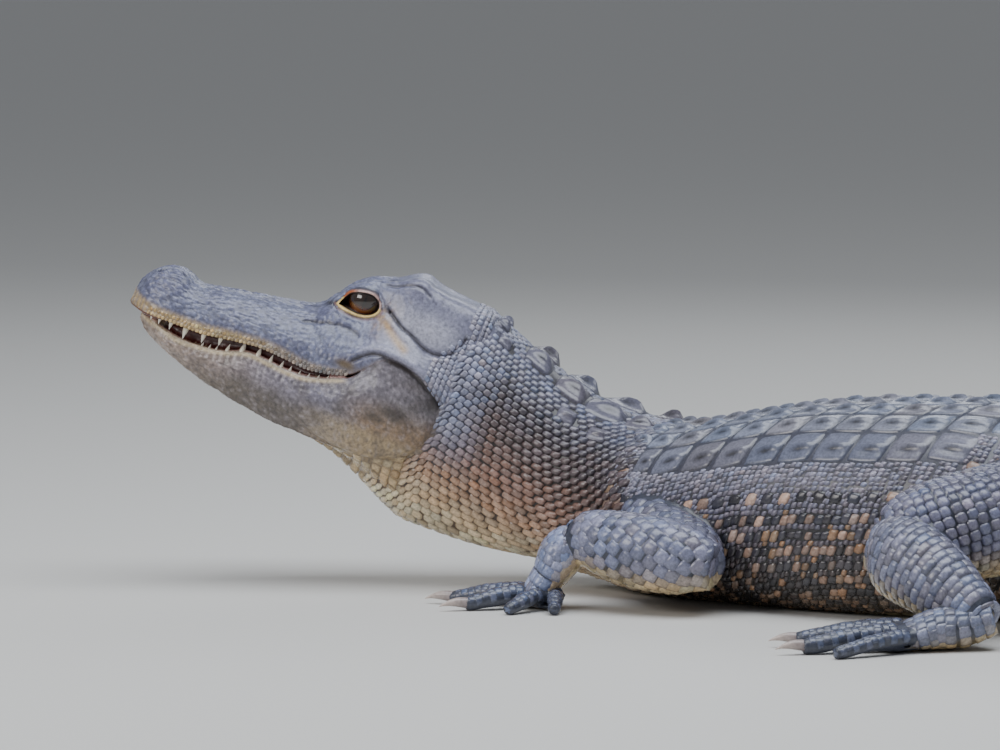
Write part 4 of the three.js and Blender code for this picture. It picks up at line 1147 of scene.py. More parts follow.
GIRTH_STEP = 5.0
GIRTH_PARTS, ANGLE_PARTS = 140, 160
girth_alongs = np.arange(-50, TAIL_TIP + 1, GIRTH_STEP)
girth_angles = np.linspace(0, math.pi, GIRTH_PARTS + 1)
girth_lines = body_point(girth_alongs[:, None], girth_angles[None, :], -SCALE_DEPTH)
girth_reach = np.concatenate([
    np.zeros((len(girth_alongs), 1)),
    np.cumsum(np.linalg.norm(np.diff(girth_lines, axis=1), axis=-1), 1),
], 1)
half_girths = girth_reach[:, -1]
angle_table = np.array([np.interp(np.linspace(0, reach[-1], ANGLE_PARTS + 1), reach, girth_angles)
                        for reach in girth_reach])


def half_girth(along):
    """Length round the body from the middle of the back to the middle of the belly."""
    return np.interp(along, girth_alongs, half_girths)


def on_body(along, arc, lift=0.0):
    """A point of the body's skin at a length round it from the middle of the back, left positive."""
    along, arc, lift = np.broadcast_arrays(np.asarray(along, float), arc, lift)
    reach = half_girth(along)
    arc = np.mod(arc + reach, 2 * reach) - reach
    rows = (along - girth_alongs[0]) / GIRTH_STEP
    angle = read_grid(angle_table, rows, np.abs(arc) / reach * ANGLE_PARTS)
    return body_point(along, np.sign(arc) * angle, lift - SCALE_DEPTH)


def back_arc(along, across):
    """Length round the body to where the back lies this far out."""
    angle = np.abs(back_angle(along, across))
    rows = (np.asarray(along, float) - girth_alongs[0]) / GIRTH_STEP
    reach = read_grid(girth_reach, rows, angle / math.pi * GIRTH_PARTS)
    return np.sign(across) * reach


def template(steps_along, steps_across, roundness):
    """One pad's grid from -1 to 1 each way, rounded at the corners, with its faces."""
    u, v = np.meshgrid(steps_along, steps_across, indexing="ij")
    edge = np.maximum(np.abs(u), np.abs(v)).ravel()
    x = (u * np.sqrt(1 - roundness * v * v / 2)).ravel()
    y = (v * np.sqrt(1 - roundness * u * u / 2)).ravel()
    rows, columns = u.shape
    index = np.arange(rows * columns).reshape(rows, columns)
    quads = np.stack([index[:-1, :-1], index[1:, :-1], index[1:, 1:], index[:-1, 1:]], -1).reshape(-1, 4)
    rim = np.concatenate([index[0, :], index[1:, -1], index[-1, -2::-1], index[-2:0:-1, 0]])
    return {"x": x, "y": y, "edge": edge, "quads": quads, "rim": rim}


EVEN = [-1, -0.82, -0.4, 0, 0.4, 0.82, 1]
COARSE = [-1, -0.75, 0, 0.75, 1]
BEAD = template(EVEN, EVEN, 0.75)
BRICK = template(EVEN, EVEN, 0.32)
GRANULE = template(COARSE, COARSE, 0.7)
FINE = [-1, -0.93, -0.8, -0.6, -0.4, -0.2, 0, 0.2, 0.4, 0.6, 0.8, 0.93, 1]
SCUTE = template(FINE, FINE, 0.4)
CREST = template(FINE[::2], FINE[::2], 0.5)
PAD_LEAN = 0.15
PATCH = 0.0014


def pads(shape, surface, s, t, length, width, tone, unwrap, turn=0.0, rise=1.5, keel=0.0, dark_rim=0.5,
         spot=0.0, creases=0.0, uneven=0.08, shear=0.0, fitted=False):
    """Pads at places (s, t) of a surface, with their size, colour, turn in degrees and height; painted shade
    darkens each pad towards its rim and in the hollow beside its keel.
    """
    s, t = np.asarray(s, float), np.asarray(t, float)
    count = len(s)
    length, width, turn, rise, keel, spot, creases, shear = [
        np.broadcast_to(np.asarray(value, float), count)[:, None]
        for value in (length, width, turn, rise, keel, spot, creases, shear)]
    step = 0.5
    middle = surface(s, t, 0.0)
    ahead, behind, beside = [
        np.linalg.norm(surface(s + ds, t + dt, 0.0) - middle, axis=-1)[:, None] / step
        for ds, dt in ((step, 0), (-step, 0), (0, step))]
    stretch_s, stretch_t = np.maximum(ahead, behind), beside
    if fitted:
        stretch_s, stretch_t = 1 + 0 * stretch_s, 1 + 0 * stretch_t
    x = shape["x"] * length / 2
    y = shape["y"] * width / 2
    angle = np.radians(turn)
    ds = (x * np.cos(angle) - y * np.sin(angle)) / np.maximum(stretch_s, 1e-3)
    dt = (x * np.sin(angle) + y * np.cos(angle)) / np.maximum(stretch_t, 1e-3)
    ds = ds + shear * dt
    dome = np.interp(shape["edge"], [0, 0.4, 0.75, 0.82, 0.93, 1], [1, 0.95, 0.76, 0.66, 0.3, -0.5])
    dome = dome * (1 + PAD_LEAN * shape["x"])
    dimple = 1 + uneven * shuffle.standard_normal((count, len(shape["x"]))) * (shape["edge"] < 0.95)
    u, v = shape["x"], shape["y"]
    ridge = np.exp(-(v / 0.2) ** 2) * ease(u, -0.95, 0.15) * ease(-u, -0.98, -0.5)
    lift = rise * dome * dimple + keel * ridge
    around = np.arctan2(v, u + 0.1)
    far = np.hypot(u, v)
    rays = np.sin(around * 13 + shuffle.uniform(0, 6, (count, 1))) * np.clip(far - 0.25, 0, 0.45)
    lift = lift + creases * rays * (shape["edge"] < 0.9)
    hollow = np.exp(-((u - 0.05) / 0.42) ** 2 - ((v - 0.22) / 0.17) ** 2)
    lift = lift - spot * 0.9 * hollow
    points = surface(s[:, None] + ds, t[:, None] + dt, lift)
    tone = np.broadcast_to(np.asarray(tone, float), (count, 3))
    # Painted shade: each pad darkens towards its rim, where it sinks into the groove between pads.
    shade = np.interp(shape["edge"], [0, 0.6, 0.85, 1], [1, 0.95, 0.8, dark_rim])
    colour = tone[:, None, :] * shade[None, :, None]
    # Painted shade in the hollow beside the keel, where spot sinks the pad.
    colour = colour * (1 - np.clip(spot, 0, 1) * 0.9 * hollow)[..., None]
    chart = unwrap(s, t)[:, None, :] + np.stack([u, v], -1) * PATCH
    return {"shape": shape, "points": points, "colour": colour, "chart": chart}


def coat_piece(name, groups, look):
    """One mesh of many pads, with their colours and their patches of the unwrapped skin."""
    points, faces, colours, charts = [], [], [], []
    start = 0
    for group in groups:
        pad_points = group["points"]
        count, size = pad_points.shape[:2]
        tops, rim = group["shape"]["quads"], group["shape"]["rim"]
        corners = pad_points[:, tops]
        facing = np.cross(corners[:, :, 2] - corners[:, :, 0], corners[:, :, 3] - corners[:, :, 1]).sum(1)
        dome = pad_points[:, size // 2] - pad_points[:, rim].mean(1)
        turned = ((facing * dome).sum(-1) < 0)[:, None]
        starts = start + np.arange(count)[:, None] * size
        faces += (starts[:, None] + np.where(turned[..., None], tops[:, ::-1], tops)).reshape(-1, 4).tolist()
        faces += (starts + np.where(turned, rim, rim[::-1])).tolist()
        points.append(pad_points.reshape(-1, 3))
        colours.append(group["colour"].reshape(-1, 3))
        charts.append(group["chart"].reshape(-1, 2))
        start += count * size
    mesh = new_mesh(name, np.concatenate(points), faces)
    set_tone(mesh, np.concatenate(colours))
    corners = numbers_of(mesh.loops, "vertex_index", 1).ravel()
    chart = mesh.uv_layers.new(name="OFBake")
    chart.data.foreach_set("uv", np.concatenate(charts)[corners].ravel())
    smoothed(mesh)
    mesh.materials.append(look)
    piece = linked(name, mesh)
    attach(piece, BODY)
    return piece

# Head: thin hide on bone, with small beads over the back of the cheek and two rows of tan beads
# along the upper lip. Rows of pale oblong scales lie under the jaw behind the edge of the jowl.


def ring_surface(rings):
    """A surface read by ring and place round it."""
    normals = outwards(rings)

    def surface(i, j, lift):
        i, j, lift = np.broadcast_arrays(i, j, lift)
        local = read_grid(rings, i, j, wraps=True) + read_grid(normals, i, j, wraps=True) * lift[..., None]
        return placed(local)

    return surface


def ring_line(rings, stations, x, first, last):
    """The ring at a station, by number, with the columns and points of a part of it."""
    i = float(np.interp(-x, -stations, np.arange(len(stations))))
    columns = np.arange(first, last)
    return i, columns, read_grid(rings, np.full(len(columns), i), columns, wraps=True)


def lengths_along(line):
    """Length along a line of points, at each of them."""
    return np.concatenate([[0], np.cumsum(np.linalg.norm(np.diff(line, axis=0), axis=-1))])


def ring_rows(rings, stations, places, pitch, first, last):
    """Rows of pads round the head: ring, place round it, station and height, for both sides."""
    around = rings.shape[1]
    found = []
    for row, x in enumerate(places):
        i, columns, line = ring_line(rings, stations, x, first, last + 1)
        reach = lengths_along(line)
        for stop in np.arange((0.25 + 0.5 * (row % 2)) * pitch, reach[-1], pitch):
            j = np.interp(stop, reach, columns)
            z = np.interp(stop, reach, line[:, 2])
            out = np.interp(stop, reach, line[:, 1])
            found += [(i, j, x, z, out), (i, around - j, x, z, -out)]
    return np.array(found)


def head_chart(rings):
    """The unwrap of the skull or jaw, by ring and place round it."""
    rows, columns = rings.shape[:2]
    return lambda i, j: np.stack([0.03 + i / rows * 0.94, 0.03 + j / columns * 0.94], -1)


skull_side = ring_surface(skull_rings)
jaw_side = ring_surface(jaw_rings)
last_skull, last_jaw = len(skull_half) - 6, len(jaw_half)

beads = ring_rows(skull_rings, skull_stations, np.arange(HEAD_REAR - 9, 8, 4.2), 4.5, 3, last_skull)
front = np.interp(beads[:, 3], [-62, -54, -45, -19, -10, 0, 10, 30],
                  [-6, -1, -2, -3, -9, -16, -21, -16])
beads = beads[(beads[:, 2] < front) & (np.abs(beads[:, 4]) > 12)]
cheek_beads = pads(BEAD, skull_side, beads[:, 0], beads[:, 1], 5.1, 5.1,
                   one_colour((146, 146, 166), beads, 0.16), head_chart(skull_rings), turn=12, rise=0.95,
                   dark_rim=0.3)

lip = []
for number, x in enumerate(np.arange(220, 56, -1.6)):
    i, columns, line = ring_line(skull_rings, skull_stations, x, 60, len(skull_keys))
    rise_up = (1.5, 4.4)[number % 2] * np.interp(x, [54, 90, 226], [0.8, 1, 1.15])
    j = np.interp(-(float(upper_lip(x)[1]) + rise_up), -line[:, 2], columns)
    lip += [(i, j, x), (i, skull_rings.shape[1] - j, x)]
lip = np.array(lip)
lip_tone = np.tile(linear(176, 150, 104), (len(lip), 1))
lip_tone = over(lip_tone, linear(128, 118, 112), ease(-lip[:, 2], -150, -100))
lip_pads = pads(BEAD, skull_side, lip[:, 0], lip[:, 1], 3.1, 3.2, varied(lip_tone, 0.26),
                head_chart(skull_rings), turn=20 * shuffle.standard_normal(len(lip)), rise=0.4)

under = ring_rows(jaw_rings, jaw_stations, np.arange(HEAD_REAR + 11.4, 80, 8.4), 8.2, 8, last_jaw)
edge_up = np.interp(under[:, 2], [-24, -16, -3, 20, 53, 75], [-74, -92, -103, -111, -111, -107])
under = under[(under[:, 3] < edge_up - 3) | (np.abs(under[:, 4]) < 26)]
under = under[under[:, 2] < 62 + 6 * shuffle.standard_normal(len(under))]
under = under[under[:, 3] < lower_lip(under[:, 2])[1] - 16]
throat_rise = 1.1 * ease(-under[:, 2], -66, -30) + 0.15
throat_scales = pads(BRICK, jaw_side, under[:, 0], under[:, 1], 8.3, 8.2,
                     one_colour((186, 164, 128), under, 0.12), head_chart(jaw_rings), rise=throat_rise)

# Neck: loose folding hide with rounded beads of horn in slanting rows, small behind the head and
# long at the throat. Eight pairs of bony plates with keels stand apart on the nape.

NAPE_PLATES = [(12, 12, 14, 13), (18, 31, 13, 12), (44, 16, 27, 27), (73, 18.5, 29, 32), (80, 47, 17, 15),
               (107, 20.5, 37, 36), (114, 54, 18, 16), (145, 26, 24, 24)]


def chart_of_body(along, arc):
    """The unwrap of the trunk, neck and tail, cut along the belly."""
    return np.stack([0.02 + (along + 40) / 1560 * 0.96, 0.5 + arc / 720 * 0.96], -1)


neck_tone = ramp(
    [0, 0.16, 0.3, 0.44, 0.58, 0.69, 0.78, 0.88, 1],
    [(118, 120, 142), (116, 118, 140), (84, 80, 90), (94, 78, 78),
     (146, 112, 98), (178, 144, 118), (208, 180, 144), (222, 202, 166),
     (214, 196, 160)])


def body_pads(shape, rows, tone, **looks):
    """Pads on the trunk, neck or tail, from rows of place along it, place round it, length, width."""
    return pads(shape, on_body, *rows.T[:4], tone, chart_of_body, **looks)


def clear_of_plates(along, arc):
    """True outside the large plates of the nape, with a small margin."""
    keep = np.ones(len(along), bool)
    for at, across, length, width in NAPE_PLATES:
        side = back_arc(at, across)
        ahead = (along - at) / (length / 2 + 1)
        away = (np.abs(arc) - side) / (width / 2 + 1)
        keep &= ahead**2 + away**2 > 1
    return keep


def inside_limb(points, grow):
    """True in the flesh of a limb's upper length, grown by this much."""
    inside = np.zeros(points.shape[:-1], bool)
    for limb in LIMBS:
        rows = np.array(limb["upper"], float)
        path = spline(np.arange(len(rows)), rows)
        for spot in path(np.linspace(0, len(rows) - 1, 40)):
            inside |= np.linalg.norm(points - spot[:3], axis=-1) < (spot[3] + spot[4]) / 2 + grow
    return inside


def inside_head(points):
    """True under the back of the skull and jaw, where the neck runs into the head."""
    local = points - OCCIPUT
    x, out, z = local @ HEAD_FORWARD, np.abs(local @ HEAD_LEFT), local @ HEAD_UP
    inside = np.zeros(len(points), bool)
    for rings, stations, first, last in ((skull_rings, skull_stations, 0, len(skull_keys)),
                                         (jaw_rings, jaw_stations, 20, last_jaw)):
        ring = np.interp(-x, -stations, np.arange(len(stations)))
        columns = np.arange(first, last)
        for i in np.flatnonzero(x > HEAD_REAR - 2):
            line = read_grid(rings, np.full(len(columns), ring[i]), columns, wraps=True)
            width = np.interp(-z[i], -line[:, 2], line[:, 1], left=0, right=0)
            inside[i] |= out[i] < width + 0.3
    return inside


# Rows slant forward from the nape to the throat and grow from 5 mm behind the head to 10 mm.
row_starts = [-90.0]
while row_starts[-1] < 205:
    here = row_starts[-1]
    row_starts.append(here + np.interp(here, [-80, -10, 30, 60, 120, 160], [7, 4.8, 6.4, 8.6, 11, 12.5]))
row_starts = np.array(row_starts)
bead_widths = np.interp(np.arange(37), [0, 7, 16, 28, 32, 36], [5.8, 5.6, 6.0, 6.4, 8, 12])
bead_stops = np.cumsum(bead_widths) / bead_widths.sum()
SLANT = 62


def slant_at(share):
    """How far forward a row lies at a share of the way from the nape to the throat."""
    return SLANT * (0.5 - ease(share, 0.04, 0.9))


row, column = np.meshgrid(np.arange(len(row_starts) - 1), np.arange(len(bead_widths)), indexing="ij")
wide = (bead_widths / bead_widths.sum())[column].ravel()
share = bead_stops[column].ravel() - wide / 2
pitch = np.diff(row_starts)[row].ravel()
along = row_starts[row].ravel() + pitch / 2 + slant_at(share)
along = along + 0.5 * pitch * (column.ravel() % 2) + 0.05 * pitch * shuffle.standard_normal(len(along))
neck_sides = []
for side in (-1, 1):
    reach = half_girth(along)
    arc = side * (share + 0.05 * wide * shuffle.standard_normal(len(along))) * reach
    place = on_body(along, arc)
    keep = clear_of_plates(along, arc) & (along < 172) & (along > -42)
    keep &= ~inside_limb(place, -2) & ~inside_head(place)
    lean_over = (slant_at(share + 0.01) - slant_at(share - 0.01)) / 0.02 / reach * side
    pale = (1 - ease(along, 4, 34)) * (1 - ease(share, 0.5, 0.7))
    tone = over(neck_tone(share), linear(134, 136, 158), pale)
    rise = pitch * np.interp(share, [0, 0.3, 0.6, 1], [0.2, 0.28, 0.26, 0.15])
    rows = np.stack([along, arc, 1.13 * pitch, 1.13 * wide * reach], -1)[keep]
    neck_sides.append(body_pads(
        BEAD, rows, varied(tone[keep], 0.17), rise=np.minimum(rise, 2.6)[keep], dark_rim=0.25,
        shear=lean_over[keep], fitted=True))
nape = np.array([(at, side * back_arc(at, across), length, width)
                 for at, across, length, width in NAPE_PLATES for side in (-1, 1)])
big = nape[:, 2] > 20
nape_scutes = body_pads(
    SCUTE, nape, one_colour((104, 102, 118), nape, 0.08), rise=np.where(big, 3.4, 2.6),
    keel=np.where(big, 6.5, 3.6), spot=np.where(big, 0.85, 0.3), creases=np.where(big, 0.5, 0.1),
    uneven=0.02)

# Back: bony plates under a horny cover, six to eight in each cross row and edge to edge along the
# trunk. Each has a keel from front to rear and is anchored in the hide by its whole underside.

ROW_START = 182.6
ROW_PITCH = 29.8
PLATE_EDGES = (0.006, 0.24, 0.47, 0.69, 0.885)
row_edges = [160.15, *(ROW_START + ROW_PITCH * np.arange(13)), 569.85]
back_rows = []


def swept(along):
    """How far each cross row leans forward for each length out from the middle."""
    return -0.24 * ease(along, 160, 215) * (1 - ease(along, 420, 569))


for i, (start, end) in enumerate(zip(row_edges[:-1], row_edges[1:])):
    middle = (start + end) / 2
    half = section(middle)[3]
    edges = PLATE_EDGES[:4] if i == 0 or i > 10 else PLATE_EDGES
    stops = [float(back_arc(middle, edge * half)) for edge in edges]
    for near, far, edge in zip(stops[:-1], stops[1:], edges[1:]):
        for side in (-1, 1):
            out = (near + far) / 2
            first, last = start + swept(start) * out, end + swept(end) * out
            back_rows.append(((first + last) / 2, side * out, last - first, far - near, edge,
                              side * swept(middle)))
back_rows = np.array(back_rows)
outer_row = back_rows[:, 4] > 0.8
back_tone = np.where(outer_row[:, None], linear(112, 114, 132), linear(122, 126, 144))
back_scutes = body_pads(
    SCUTE, back_rows, varied(back_tone, 0.1), keel=np.where(outer_row, 2.4, 3.8),
    spot=np.where(outer_row, 1.3, 0.9), creases=0.22, uneven=0.05, shear=back_rows[:, 5], dark_rim=0.3)

# Flanks: soft hide between the back plates and the belly, grown over with small horny granules in
# upright rows. Lines of larger round scales cross them, pale and dark in turn.

BAND = ROW_PITCH / 2
BANDS = 29
FLANK_START = 156
BELLY_SIDE = 62
SPOT_LINES = [0.15, 0.27, 0.35, 0.44, 0.53, 0.62, 0.71, 0.8, 0.9]


def flank_group(side):
    """The scales of one flank, from the outer plates of the back down to the belly."""
    small, large = [], []
    for band in range(BANDS):
        middle = FLANK_START + band * BAND
        half = section(middle)[3]
        row = np.searchsorted(row_edges, middle) - 1
        top = float(back_arc(middle, half * PLATE_EDGES[3 if row < 1 or row > 10 else 4]))
        edge = half_girth(middle) - BELLY_SIDE
        arc = top - 0.5
        line = 0
        while arc < edge:
            share = (arc - top) / (edge - top)
            at = middle + swept(middle) * top - 20 * share
            if line < len(SPOT_LINES) and share > SPOT_LINES[line]:
                size = np.interp(share, [0.15, 0.4, 1], [8.4, 7.2, 8.4])
                if line == 0:
                    for step, low in ((-0.43, 0.25), (-0.43, 0.75), (0.43, 0.25), (0.43, 0.75)):
                        small.append((at + step * BAND, arc + low * size, BAND * 0.2, size * 0.45,
                                      share, 0))
                for step in (-0.25, 0.25) if line > 0 else (0,):
                    large.append((at + step * BAND, arc + size / 2, BAND * (0.47 if line else 0.7), size,
                                  share, (band + line + (step > 0)) % 2))
                arc += size
                line += 1
            else:
                pitch = np.interp(share, [0, 0.3, 0.7, 1], [3.7, 4.2, 5.2, 7]) * shuffle.uniform(0.9, 1.1)
                for step in (-0.33, 0, 0.33):
                    small.append((at + step * BAND, arc + pitch / 2, BAND * 0.315, pitch * 0.96, share, 0))
                arc += pitch
    groups = []
    for rows, shape in ((small, GRANULE), (large, BEAD)):
        table = np.array(rows)
        table[:, :2] += 0.45 * shuffle.standard_normal((len(table), 2))
        table[:, 2:4] *= np.exp(0.09 * shuffle.standard_normal((len(table), 2)))
        place = on_body(table[:, 0], side * table[:, 1])
        table = table[~inside_limb(place, -3) & (table[:, 0] < 572) & (table[:, 0] > 150)]
        share = table[:, 4]
        tone = ramp([0, 0.2, 0.45, 0.7, 1],
                    [(134, 132, 150), (118, 114, 130), (84, 76, 82),
                     (56, 49, 46), (84, 70, 54)])(share)
        if shape is BEAD:
            pale = mixed(linear(176, 146, 132), linear(132, 104, 78), share)
            dark = mixed(linear(50, 50, 62), linear(48, 42, 40), share)
            picked = (table[:, 5] > 0.5) ^ (shuffle.random(len(table)) < 0.2 + 0.3 * share)
            tone = mixed(tone, np.where(picked[:, None], pale, dark), np.interp(share, [0.2, 0.5], [1, 0.7]))
        tan = (shuffle.random(len(table)) < 0.12) & (share > 0.25)
        tone = np.where(tan[:, None], linear(150, 118, 92), tone)
        groups.append(body_pads(
            shape, table[:, :4] * [1, side, 1.16, 1.16], varied(tone, 0.24), turn=side * 10,
            rise=np.interp(share, [0, 0.3, 1], [0.9, 1.6, 1.5]), dark_rim=0.35, shear=-0.3 * side))
    return groups



# Belly: plain oblong plates of cream horn, flat and without keels. They lie in even cross rows that
# meet the flanks' scales at both sides.
BELLY_START, BELLY_PITCH = 150, 18
belly = np.array([(along, half_girth(along) + i * BELLY_PITCH, BAND * 0.95, BELLY_PITCH - 0.8)
                  for along in BELLY_START + BAND * np.arange(BANDS) for i in range(-3, 4)])
belly_plates = body_pads(BRICK, belly, one_colour((186, 172, 138), belly, 0.08), rise=1.1, dark_rim=0.6)

# Tail: a tall blade of muscle in whorls of square horny plates. Two crests of upright teeth grow
# along its top, and halfway along they join into one.

DOUBLE_END = 1045
whorl_pitch = through([(570, 27.5), (1045, 25), (1500, 19)])
crest_height = through([(570, 6), (700, 11), (900, 16), (1045, 18), (1200, 17), (1350, 12), (1500, 6)])
crest_spread = through([(570, 0.6), (700, 0.5), (900, 0.36), (1045, 0.22)])
whorls, crests = [], []
along = TORSO_END + 1.0
while along < 1478:
    pitch = float(whorl_pitch(along))
    middle = along + pitch / 2
    half = section(middle)[3]
    double = middle < DOUBLE_END
    out = float(crest_spread(min(middle, DOUBLE_END)) * half) if double else 0.0
    crest_arc = float(abs(back_arc(middle, out))) if double else 0.0
    for side in (-1, 1) if double else (1,):
        crests.append((middle, side * crest_arc, pitch - 1.2, half * 0.2 + 5, float(crest_height(middle))))
    reach = half_girth(middle)
    edge = half * 0.1 + 3.5
    if double and crest_arc > 12:
        whorls.append((middle, 0, pitch * 1.1, 2 * (crest_arc - edge), 0))
    spread = reach - (crest_arc + edge)
    count = max(3, round(spread / np.interp(middle, [570, 900, 1500], [13, 13, 9])))
    for side in (-1, 1):
        for i in range(count):
            whorls.append((middle, side * (crest_arc + edge + (i + 0.5) * spread / count), pitch * 1.1,
                           spread / count * 0.97, (i + 0.5) / count))
    along += pitch
whorls, crests = np.array(whorls), np.array(crests)
tail_tone = ramp([0, 0.35, 0.6, 0.8, 1],
                 [(98, 104, 124), (84, 86, 100), (66, 60, 60), (140, 126, 100),
                  (176, 162, 130)])
banded = 1 - 0.3 * ease(np.sin(whorls[:, 0] * 2 * math.pi / 118 + 0.6 * np.sin(whorls[:, 1] * 0.05)), 0, 0.8)
like_back = (1 - ease(whorls[:, 0], 580, 820)) * (1 - ease(whorls[:, 4], 0.1, 0.5))
whorl_tone = mixed(tail_tone(whorls[:, 4]) * banded[:, None], linear(122, 126, 144), like_back)
tail_plates = body_pads(BRICK, whorls, varied(whorl_tone, 0.12), keel=np.where(whorls[:, 4] < 0.4, 1.0, 0))

crest_tone = mixed(linear(112, 116, 134), linear(92, 98, 118), ease(crests[:, 0], 580, 820))
crest_pads = body_pads(CREST, crests, varied(crest_tone, 0.1), rise=2.0, keel=crests[:, 4] - 2)

# The coats of the head, neck, trunk and tail: one mesh of horny scales for each part, with their
# rims sunk in the skin.
coat_piece("neck_beads", neck_sides, scale_look)
coat_piece("cheek_scales", [cheek_beads, lip_pads], scale_look)
coat_piece("jaw_scales", [throat_scales], scale_look)
coat_piece("nape_plates", [nape_scutes], scale_look)
coat_piece("back_plates", [back_scutes], scale_look)
coat_piece("flank_scales_left", flank_group(1), scale_look)
coat_piece("flank_scales_right", flank_group(-1), scale_look)
coat_piece("belly_plates", [belly_plates], scale_look)
coat_piece("tail_plates", [tail_plates, crest_pads], scale_look)

# Limbs: horny scales in staggered rings round each length of flesh. They are large and smooth on
# the forearm and heel, and single plates reach across the backs of the fingers and toes.


def inside_tube(points, rows, grow):
    """True in the flesh along a path of (x, y, z, radius, radius) rows, grown by this much."""
    rows = np.array(rows, float)
    path = spline(np.arange(len(rows)), rows)(np.linspace(0, len(rows) - 1, 60))
    inside = np.zeros(points.shape[:-1], bool)
    for near, far in zip(path[:-1], path[1:]):
        step = far[:3] - near[:3]
        length = np.linalg.norm(step)
        ahead = (points - near[:3]) @ step / length
        away = np.linalg.norm(points - near[:3] - ahead[..., None] * step / length, axis=-1)
        inside |= (ahead > -0.5) & (ahead < length + 0.5) & (away < (near[3] + near[4]) / 2 + grow)
    return inside


TRUNK_ORIGIN, TRUNK_HEIGHT = 335, 70
STRAIGHT_FROM = 130


def inside_trunk(points, grow):
    """True in the straight part of the trunk, grown outwards by this much."""
    along = points[..., 0] + TRUNK_ORIGIN
    top, bottom, widest, half = section(np.clip(along, STRAIGHT_FROM, TORSO_END))[:4]
    up = points[..., 2] - TRUNK_HEIGHT
    reach = np.where(up > widest, top - widest, bottom + widest) + grow
    share = (np.abs(points[..., 1]) / (half + grow)) ** 2.4 + (np.abs(up - widest) / reach) ** 2.4
    return (share < 1) & (along > STRAIGHT_FROM) & (along < TORSO_END)


def capped(surface, rows):
    """A limb's surface that runs on over its flat ends, to the middle of each."""
    rows = np.array(rows, float)
    length = np.linalg.norm(np.diff(rows[:, :3], axis=0), axis=1).sum()
    radius_first, radius_last = rows[0, 3:5].mean(), rows[-1, 3:5].mean()

    def middle_at(share, angle):
        return (surface(share, angle, 0.0) + surface(share, angle + math.pi, 0.0)) / 2

    def point(share, angle, lift):
        share, angle, lift = np.broadcast_arrays(np.asarray(share, float), angle, lift)
        inside = np.clip(share, 0, 1)
        first = share < 0.5
        fold = np.minimum(np.abs(share - inside) * length / np.where(first, radius_first, radius_last), 1)
        centre = middle_at(inside, angle)
        away = centre - middle_at(np.where(first, 0.03, 0.97), angle)
        away = away / np.maximum(np.linalg.norm(away, axis=-1, keepdims=True), 1e-6)
        along = np.where(fold > 0, lift - LIMB_SKIN, 0)
        ring = (surface(inside, angle, lift) - centre) * (1 - fold)[..., None]
        return centre + ring + away * along[..., None]

    return point, length, (radius_first, radius_last)


def tube_rows(surface, rows, pitch, width, start=0.0, end=1.0, low=-math.pi / 2, high=3 * math.pi / 2):
    """Places of pads in staggered rings along a limb: share, angle, length, width."""
    rows = np.array(rows, float)
    shares = np.linspace(0, 1, 120)
    reach = lengths_along(surface(shares, np.pi / 2, 0.0))
    radius = np.interp(shares * (len(rows) - 1), np.arange(len(rows)), rows[:, 3:5].mean(1))
    places = []
    at, ring = np.interp(start, shares, reach) + pitch / 2, 0
    while at < np.interp(end, shares, reach) - pitch / 2:
        share = np.interp(at, reach, shares)
        round_length = np.interp(share, shares, radius) * (high - low)
        count = max(3, round(round_length / width))
        for i in range(count):
            angle = low + (i + 0.5 + 0.5 * (ring % 2)) * (high - low) / count
            if angle < high:
                places.append((share, angle, pitch * 1.04, round_length / count * 0.97))
        at += pitch
        ring += 1
    return places


def cap_rows(length, radii, pitch, width):
    """Places of pads in rings on the two flat ends of a limb."""
    places = []
    for radius, base, way in ((radii[0], 0, -1), (radii[1], 1, 1)):
        for inner in np.arange(radius - pitch * 0.3, 0, -pitch):
            count = max(1, round(2 * math.pi * inner / width))
            for i in range(count):
                places.append((base + way * (radius - inner) / length, i * 2 * math.pi / count, pitch, width))
    return places


def chart_of_limb(share, angle):
    """The unwrap of one length of a limb; its share of the length is in hundredths."""
    return np.stack([0.05 + share * 0.009, 0.05 + np.mod(angle, 2 * math.pi) / 7], -1)


def limb_pads(shape, surface, rows, pitch, width, top, under, neighbour, rise, turn=0.0, **reach):
    """Pads on one length of a limb, left out where its neighbour or the trunk covers them."""
    surface, length, radii = capped(surface, rows)
    table = np.array(tube_rows(surface, rows, pitch, width, **reach)
                     + cap_rows(length, radii, pitch, width))
    table[:, 0] += 0.004 * shuffle.standard_normal(len(table))
    place = surface(table[:, 0], table[:, 1], 0.0)
    table = table[(place[:, 2] > 1.2) & ~inside_trunk(place, 0.7) & ~inside_tube(place, neighbour, -4)]
    tone = mixed(linear(*top), linear(*under), ease(-np.sin(table[:, 1]), 0.3, 0.9))
    return pads(shape, lambda s, t, lift: surface(s / 100, t, lift + LIMB_SKIN),
                *(table * [100, 1, 1.15, 1.15]).T, varied(tone, 0.16), chart_of_limb, turn=turn, rise=rise)


